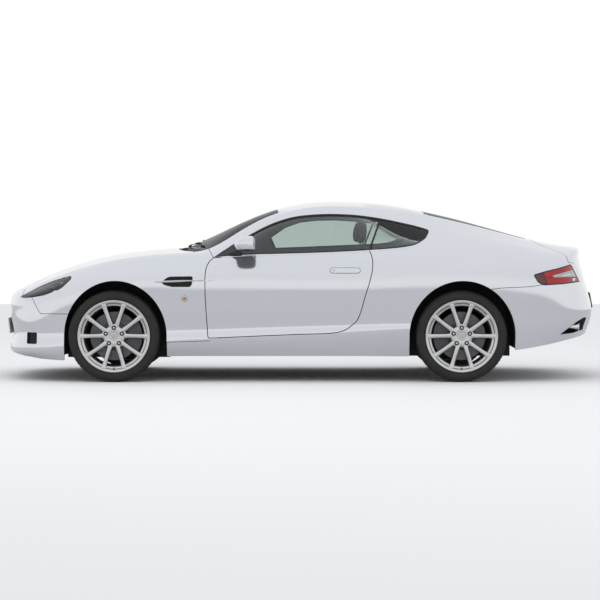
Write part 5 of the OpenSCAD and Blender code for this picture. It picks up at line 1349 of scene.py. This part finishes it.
con = [soft_profile([(440, 414), (440, 560), (200, 525), (-200, 512), (-560, 540), (-636, 530), (-640, 414)], -104, 104, M["trim_leather"], 0.016),
       soft_profile([(300, 540), (180, 528), (-80, 518), (-80, 522), (180, 533), (300, 548)], -70, 70, M["gloss_black"], 0.003),
       soft_profile([(-200, 512), (-200, 560), (-220, 572), (-520, 574), (-560, 556), (-560, 512)], -95, 95, M["trim_leather"], 0.018),
       soft_profile([(-644, 414), (-644, 452), (-1080, 452), (-1080, 414)], -104, 104, M["carpet"], 0.012),
       tube([(0.150, 0, 0.530), (0.146, 0, 0.570), (0.140, 0, 0.600)], [0.016, 0.010, 0.012], M["trim_leather"], "lever", 16),
       move(rev_obj([(0.0001, 0.022), (0.014, 0.019), (0.022, 0.008), (0.023, -0.004), (0.014, -0.014), (0.0001, -0.016)], 28, M["satin_metal"], "knob", closed=False), 0, 0, 0)]
xform(con[-1], Matrix.Translation((0.139, 0, 0.612)) @ Matrix.Rotation(math.radians(90), 4, 'X'))
shelf = common(body(46, 0, False), Y([(-1092, 880), (-1092, 900), (-1500, 905), (-1500, 880)])); shelf = recol(shelf, M["carpet"]); con.append(shelf)
put(joined("console", con), "console", CH, "black_plastic", ["cabin_trim"], None, 38)
def steer():
    n, m_ = 96, 20; V = []
    for i in range(n):
        a = 2 * math.pi * i / n; grip = 1.0 + 0.10 * math.exp(-((math.degrees(a) % 180 - 90) / 14.0) ** 2) * 0 + 0.12 * (math.exp(-(((math.degrees(a) + 30) % 360 - 60) / 16.0) ** 2) + math.exp(-(((math.degrees(a) + 30) % 360 - 180 - 0) / 16.0) ** 2) * 0)
        for k in range(m_):
            b = 2 * math.pi * k / m_; r = 0.0145 * grip
            V.append(((0.168 + r * math.cos(b)) * math.cos(a), (0.168 + r * math.cos(b)) * math.sin(a), r * 1.1 * math.sin(b)))
    F = [[i * m_ + k, i * m_ + (k + 1) % m_, ((i + 1) % n) * m_ + (k + 1) % m_, ((i + 1) % n) * m_ + k] for i in range(n) for k in range(m_)]
    out = [obj_from(V, F, M["trim_leather"], "rim")]
    for a in (90, 210, 330):
        a = math.radians(a); er = Vector((math.cos(a), math.sin(a), 0)); et = Vector((-math.sin(a), math.cos(a), 0)); rings = []
        for r, w, z in ((0.030, 0.024, -0.012), (0.070, 0.019, -0.008), (0.120, 0.016, -0.003), (0.162, 0.021, 0.0)):
            rings.append([tuple(er * r + et * (w * c) + Vector((0, 0, z + 0.0045 * s))) for c, s in ((-1, 0), (-0.8, 1), (0.8, 1), (1, 0), (0.8, -1), (-0.8, -1))])
        out.append(subdiv(loft(rings, M["satin_metal"], "spoke"), 1))
    hub = [rev_obj([(0.0001, -0.024), (0.040, -0.022), (0.052, -0.012), (0.054, 0.004), (0.046, 0.014), (0.0145, 0.016), (0.0145, 0.004), (0.0001, 0.002)], 56, M["trim_leather"], "hub", closed=False)]
    for h in hub:
        h.data.transform(Matrix.Rotation(math.radians(90), 4, 'X')); out.append(h)
    return joined("steer", out)
sw = steer(); xform(sw, Matrix.Translation((0.178, 0.370, 0.904)) @ Matrix.Rotation(math.radians(115), 4, 'Y'))
put(sw, "steering_wheel_rim", "steering_wheel_body", "wheel_leather", ["steering_wheel"], None, 45)
col = [tube([tuple(Vector((0.178, 0.370, 0.904)) + Vector((math.cos(math.radians(25)), 0, -math.sin(math.radians(25)))) * d) for d in (0.018, 0.35)], 0.014, M["cast"], "shaft", 24),
       tube([tuple(Vector((0.178, 0.370, 0.904)) + Vector((math.cos(math.radians(25)), 0, -math.sin(math.radians(25)))) * d) for d in (0.045, 0.06, 0.15, 0.24)], [0.034, 0.040, 0.046, 0.046], M["black"], "shroud", 28)]
put(joined("column", col), "column", CH, "cast_metal", ["steering_column"], None, 45)

# ------------------------------------------------------------------ doors inside
def door_lining():
    a = common(common(wall(78, 92, False), Y(DOOR_C, -34, 300)), Y(BELOW, -2)); a = recol(a, M["trim_leather"], 30)
    out = [a]
    b = common(wall(90, 99, False), Y(round_poly([(560, 400), (560, 620), (-330, 640), (-400, 560), (-330, 430)], 50), 0, 300)); out.append(recol(b, M["carpet"], 30))
    arm = soft_profile([(330, 655), (330, 700), (-300, 712), (-340, 690), (-300, 655)], 700, 790, M["trim_leather"], 0.02); out.append(arm)
    out.append(tube([(0.16, 0.712, 0.765), (0.14, 0.700, 0.768), (0.02, 0.698, 0.770), (-0.02, 0.712, 0.768)], [0.008, 0.009, 0.009, 0.008], M["chrome"], "pull", 10))
    return joined("lining", out)
a = door_lining(); b = mirrored(a)
put(a, "door_lining_left", "door_left_body", "leather", (), None, 38); put(b, "door_lining_right", "door_right_body", "leather", (), None, 38)

# ------------------------------------------------------------------ seats
def pad_loft(path, name, m, yc, n=40, p=3.2):
    """stuffed piece: list of (x, z, half width in y, half thickness, tilt of the section in degrees)"""
    rings = []
    for x, z, hw, ht, ti in path:
        c, s = math.cos(math.radians(ti)), math.sin(math.radians(ti)); ring = []
        for k in range(n):
            a = 2 * math.pi * k / n; ca, sa = math.cos(a), math.sin(a)
            u = hw * abs(ca) ** (2 / p) * (1 if ca > 0 else -1); v = ht * abs(sa) ** (2 / p) * (1 if sa > 0 else -1)
            # the middle of the cushion dips, with raised sides
            v += (0.22 * ht * (abs(u) / max(hw, 1e-4)) ** 3 if v > 0 else 0)
            ring.append((x - v * s, yc + u, z + v * c))
        rings.append(ring)
    return loft(rings, m, name)
def front_seat(yc):
    cush = pad_loft([(-0.385, 0.345, 0.200, 0.030, 6), (-0.370, 0.345, 0.215, 0.062, 6), (-0.300, 0.345, 0.228, 0.080, 6), (-0.150, 0.352, 0.236, 0.088, 8), (0.000, 0.366, 0.234, 0.084, 8), (0.065, 0.374, 0.226, 0.070, 2), (0.098, 0.372, 0.205, 0.042, -20), (0.104, 0.362, 0.180, 0.018, -35)], "cushion", M["leather"], yc)
    back = pad_loft([(-0.352, 0.420, 0.190, 0.030, 100), (-0.352, 0.440, 0.212, 0.056, 100), (-0.366, 0.520, 0.230, 0.070, 102), (-0.402, 0.680, 0.236, 0.072, 104), (-0.445, 0.840, 0.226, 0.064, 106), (-0.480, 0.950, 0.196, 0.054, 106), (-0.500, 1.010, 0.160, 0.044, 106), (-0.508, 1.032, 0.120, 0.022, 106)], "back", M["leather"], yc)
    head = pad_loft([(-0.468, 1.046, 0.040, 0.018, 94), (-0.468, 1.058, 0.062, 0.034, 94), (-0.470, 1.100, 0.078, 0.044, 95), (-0.476, 1.150, 0.079, 0.042, 96), (-0.482, 1.192, 0.070, 0.032, 98), (-0.486, 1.208, 0.046, 0.014, 100)], "headrest", M["leather"], yc)
    rods = [tube([(-0.492, yc + s * 0.035, 1.000), (-0.484, yc + s * 0.035, 1.060)], 0.0065, M["chrome"], "rod", 12) for s in (-1, 1)]
    base = soft_profile([(60, 250), (60, 292), (-380, 292), (-380, 250)], (yc * 1000) - 190, (yc * 1000) + 190, M["black"], 0.008)
    return cush, back, head, rods + [base]
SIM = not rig.quick()
def soften(o, vox=0.009, cap=0.010, press=3.0):
    """inflate a closed pad as cloth for a moment, then keep the shape"""
    src = copy_of(o)
    rm = o.modifiers.new("r", "REMESH"); rm.mode = "VOXEL"; rm.voxel_size = vox; apply_mods(o)
    if SIM:
        n0 = np.zeros(len(o.data.vertices) * 3); o.data.vertices.foreach_get("co", n0)
        c = o.modifiers.new("c", "CLOTH"); s_ = c.settings; s_.quality = 4; s_.mass = 0.25; s_.tension_stiffness = 18; s_.compression_stiffness = 18; s_.shear_stiffness = 8; s_.bending_stiffness = 1.2
        s_.use_pressure = True; s_.uniform_pressure_force = press; s_.effector_weights.gravity = 0.0; c.collision_settings.use_collision = False; c.collision_settings.use_self_collision = False
        c.point_cache.frame_start = 1; c.point_cache.frame_end = 20
        for fr in range(1, 21): sc.frame_set(fr)
        dg = bpy.context.evaluated_depsgraph_get(); me = bpy.data.meshes.new_from_object(o.evaluated_get(dg)); n1 = np.zeros(len(me.vertices) * 3); me.vertices.foreach_get("co", n1)
        o.modifiers.clear(); bpy.data.meshes.remove(me); sc.frame_set(1)
        if len(n1) == len(n0) and np.isfinite(n1).all():
            d = (n1 - n0).reshape(-1, 3); L = np.linalg.norm(d, axis=1, keepdims=True); d = d * np.minimum(1, cap / np.maximum(L, 1e-9))
            o.data.vertices.foreach_set("co", (n0.reshape(-1, 3) + d).ravel())
        sm = o.modifiers.new("s", "SMOOTH"); sm.factor = 0.5; sm.iterations = 3; apply_mods(o)
    o.data.materials.clear(); o.data.materials.append(src.data.materials[0]); remove(src)
    o.data.polygons.foreach_set("use_smooth", [True] * len(o.data.polygons)); o.data.update(); return o
def seam_lines(yc, s=1):
    out = []
    for dy in (-0.120, 0.120):
        P = [(x, yc + dy, z) for x, z in ((-0.330, 0.437), (-0.240, 0.444), (-0.120, 0.452), (0.000, 0.458), (0.060, 0.452), (0.086, 0.430))]
        out.append(tube(P, 0.0032, M["piping"], "piping", 8))
    return out
M["piping"] = mat("piping", (0.05, 0.05, 0.052), 0.4, bump=0.2, bscale=500)
cu, bk, hd, rest = front_seat(0.370)
for o in (cu, bk, hd): soften(o)
for o, nm in ((cu, "seat_cushion"), (bk, "seat_back"), (hd, "seat_headrest")):
    q = mirrored(o)
    for z, sd in ((o, "left"), (q, "right")):
        z.name = nm + "_" + sd; z.data.name = z.name; z.data.polygons.foreach_set("use_smooth", [True] * len(z.data.polygons))
        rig.ride(z, CH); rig.slot(z, "leather"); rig.padded(z, fill=0.85)
        if nm == "seat_back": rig.replaces(z, "front_seats") if sd == "left" else None
rs = joined("seat_rods_l", rest + seam_lines(0.370)); rs2 = mirrored(rs); put(joined("seat_rods", [rs, rs2]), "seat_rods", CH, "chrome", (), None, 40)
rc = pad_loft([(-1.060, 0.350, 0.130, 0.050, 2), (-1.040, 0.350, 0.140, 0.080, 2), (-0.900, 0.345, 0.144, 0.085, 4), (-0.740, 0.355, 0.142, 0.085, 6), (-0.650, 0.365, 0.132, 0.066, 0), (-0.632, 0.358, 0.115, 0.034, -15)], "rear_cushion", M["leather"], 0.295)
rb = pad_loft([(-0.985, 0.432, 0.120, 0.034, 96), (-0.985, 0.455, 0.138, 0.058, 96), (-1.000, 0.600, 0.144, 0.062, 98), (-1.022, 0.760, 0.140, 0.056, 100), (-1.040, 0.860, 0.120, 0.040, 102), (-1.046, 0.890, 0.090, 0.018, 104)], "rear_back", M["leather"], 0.295)
for o, nm in ((rc, "rear_cushion"), (rb, "rear_back")):
    soften(o); q = mirrored(o)
    for z, sd in ((o, "left"), (q, "right")):
        z.name = nm + "_" + sd; z.data.name = z.name; z.data.polygons.foreach_set("use_smooth", [True] * len(z.data.polygons))
        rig.ride(z, CH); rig.slot(z, "leather"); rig.padded(z, fill=0.85)
        if nm == "rear_back" and sd == "left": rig.replaces(z, "rear_seats")

# ------------------------------------------------------------------ carried-over CAD nodes
CARRY = {"underbody": "under", "arch_liners": "under", "engine_block": "cast", "front_frame": "under", "tunnel": "carpet", "firewall": "under", "boot_tub": "carpet", "front_plate": "plate", "grille": "satin_metal", "headlights": "lamp_in", "headlight_lenses": "lens",
         "side_vents": "black", "cowl": "black", "tail_lights": "red", "tow_socket": "cast", "exhaust_tips": "chrome", "suspension": "cast", "dashboard": "trim_leather",
         "steering_column": "black", "front_seats": "leather", "rear_seats": "leather", "cabin_trim": "trim_leather", "door_left": "paint", "door_right": "paint",
         "mirror_left": "paint", "mirror_right": "paint", "steering_wheel": "trim_leather"}
for n, o in frame["nodes"].items():
    k = CARRY.get(n)
    if k is None:
        k = "tyre" if n.startswith("tyre") else "rim" if n.startswith("wheel") else "disc" if n.startswith("brake") else "cast" if n.startswith("knuckle") else "paint"
    m = M[k]
    if len(o.material_slots): 
        for s_ in o.material_slots: s_.material = m
    else: o.data.materials.append(m)

remove(WALL)

# ------------------------------------------------------------------ floor, light, camera
def floor():
    n = 24; w = 14.0; V = []; F = []
    for i in range(n + 1):
        for j in range(n + 1):
            V.append((-w + 2 * w * i / n, -16 + 34 * j / n, 0.0))
    for i in range(n):
        for j in range(n): F.append([i * (n + 1) + j, (i + 1) * (n + 1) + j, (i + 1) * (n + 1) + j + 1, i * (n + 1) + j + 1])
    m = mat("pale_floor", (0.60, 0.605, 0.61), 0.75, var=0.01, vscale=0.6, bump=0.02, bscale=30, spec=0.2)
    nt = m.node_tree; d = nt.nodes.new("ShaderNodeBsdfDiffuse"); d.inputs["Color"].default_value = (0.93, 0.93, 0.93, 1)
    mx = nt.nodes.new("ShaderNodeMixShader"); lp = nt.nodes.new("ShaderNodeLightPath")
    nt.links.new(lp.outputs["Is Camera Ray"], mx.inputs["Fac"]); nt.links.new(nt.nodes["Principled BSDF"].outputs["BSDF"], mx.inputs[1]); nt.links.new(d.outputs["BSDF"], mx.inputs[2])
    nt.links.new(mx.outputs["Shader"], nt.nodes["Material Output"].inputs["Surface"])
    o = new_obj("floor", V, F, m)
    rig.stage(o); return o
floor()
w = bpy.data.worlds.new("studio"); sc.world = w; w.use_nodes = True
nt = w.node_tree; bg = nt.nodes["Background"]
tc = nt.nodes.new("ShaderNodeTexCoord"); sx = nt.nodes.new("ShaderNodeSeparateXYZ"); cr = nt.nodes.new("ShaderNodeValToRGB")
nt.links.new(tc.outputs["Generated"], sx.inputs["Vector"]); nt.links.new(sx.outputs["Z"], cr.inputs["Fac"])
cr.color_ramp.elements[0].position = 0.0; cr.color_ramp.elements[0].color = (0.90, 0.905, 0.91, 1)
cr.color_ramp.elements[1].position = 1.0; cr.color_ramp.elements[1].color = (0.84, 0.85, 0.88, 1)
e = cr.color_ramp.elements.new(0.11); e.color = (0.91, 0.915, 0.92, 1)
e = cr.color_ramp.elements.new(0.36); e.color = (0.82, 0.83, 0.855, 1)
lp = nt.nodes.new("ShaderNodeLightPath"); mw = nt.nodes.new("ShaderNodeMix"); mw.data_type = "RGBA"; mw.inputs["B"].default_value = (1.0, 1.0, 1.0, 1)
nt.links.new(lp.outputs["Is Camera Ray"], mw.inputs["Factor"]); nt.links.new(cr.outputs["Color"], mw.inputs["A"]); nt.links.new(mw.outputs["Result"], bg.inputs["Color"]); bg.inputs["Strength"].default_value = 1.0

def area(name, loc, size, power, aim, col=(1, 1, 1), sy=None):
    l = bpy.data.lights.new(name, "AREA"); l.shape = "RECTANGLE"; l.size = size; l.size_y = sy or size; l.energy = power; l.color = col
    o = bpy.data.objects.new(name, l); sc.collection.objects.link(o); o.location = loc
    o.rotation_euler = (Vector(aim) - Vector(loc)).to_track_quat("-Z", "Y").to_euler()
    o.visible_glossy = False
    return o
area("key", (2.0, 6.0, 6.5), 5.0, 60, (0, 0, 0.6), sy=3.0)
area("top", (0, 0, 6.0), 7.0, 40, (0, 0, 0), sy=3.0)
area("fill", (-5, 9, 3.0), 4.0, 20, (0, 0, 0.6), sy=3.0)

cam = bpy.data.cameras.new("cam"); co = bpy.data.objects.new("cam", cam); sc.collection.objects.link(co); sc.camera = co
cam.sensor_fit = "HORIZONTAL"; cam.sensor_width = 36.0; cam.lens = 2144.0 / 600.0 * 36.0
co.location = (0.0, 17.0, 1.15)
co.rotation_euler = (math.radians(90 - 1.886), 0, math.radians(180))
sc.view_settings.view_transform = "Standard"

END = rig.bounds()
with open("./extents.json", "w") as fh:
    json.dump({"start": [list(map(float, START[0])), list(map(float, START[1]))], "end": [list(map(float, END[0])), list(map(float, END[1]))]}, fh)
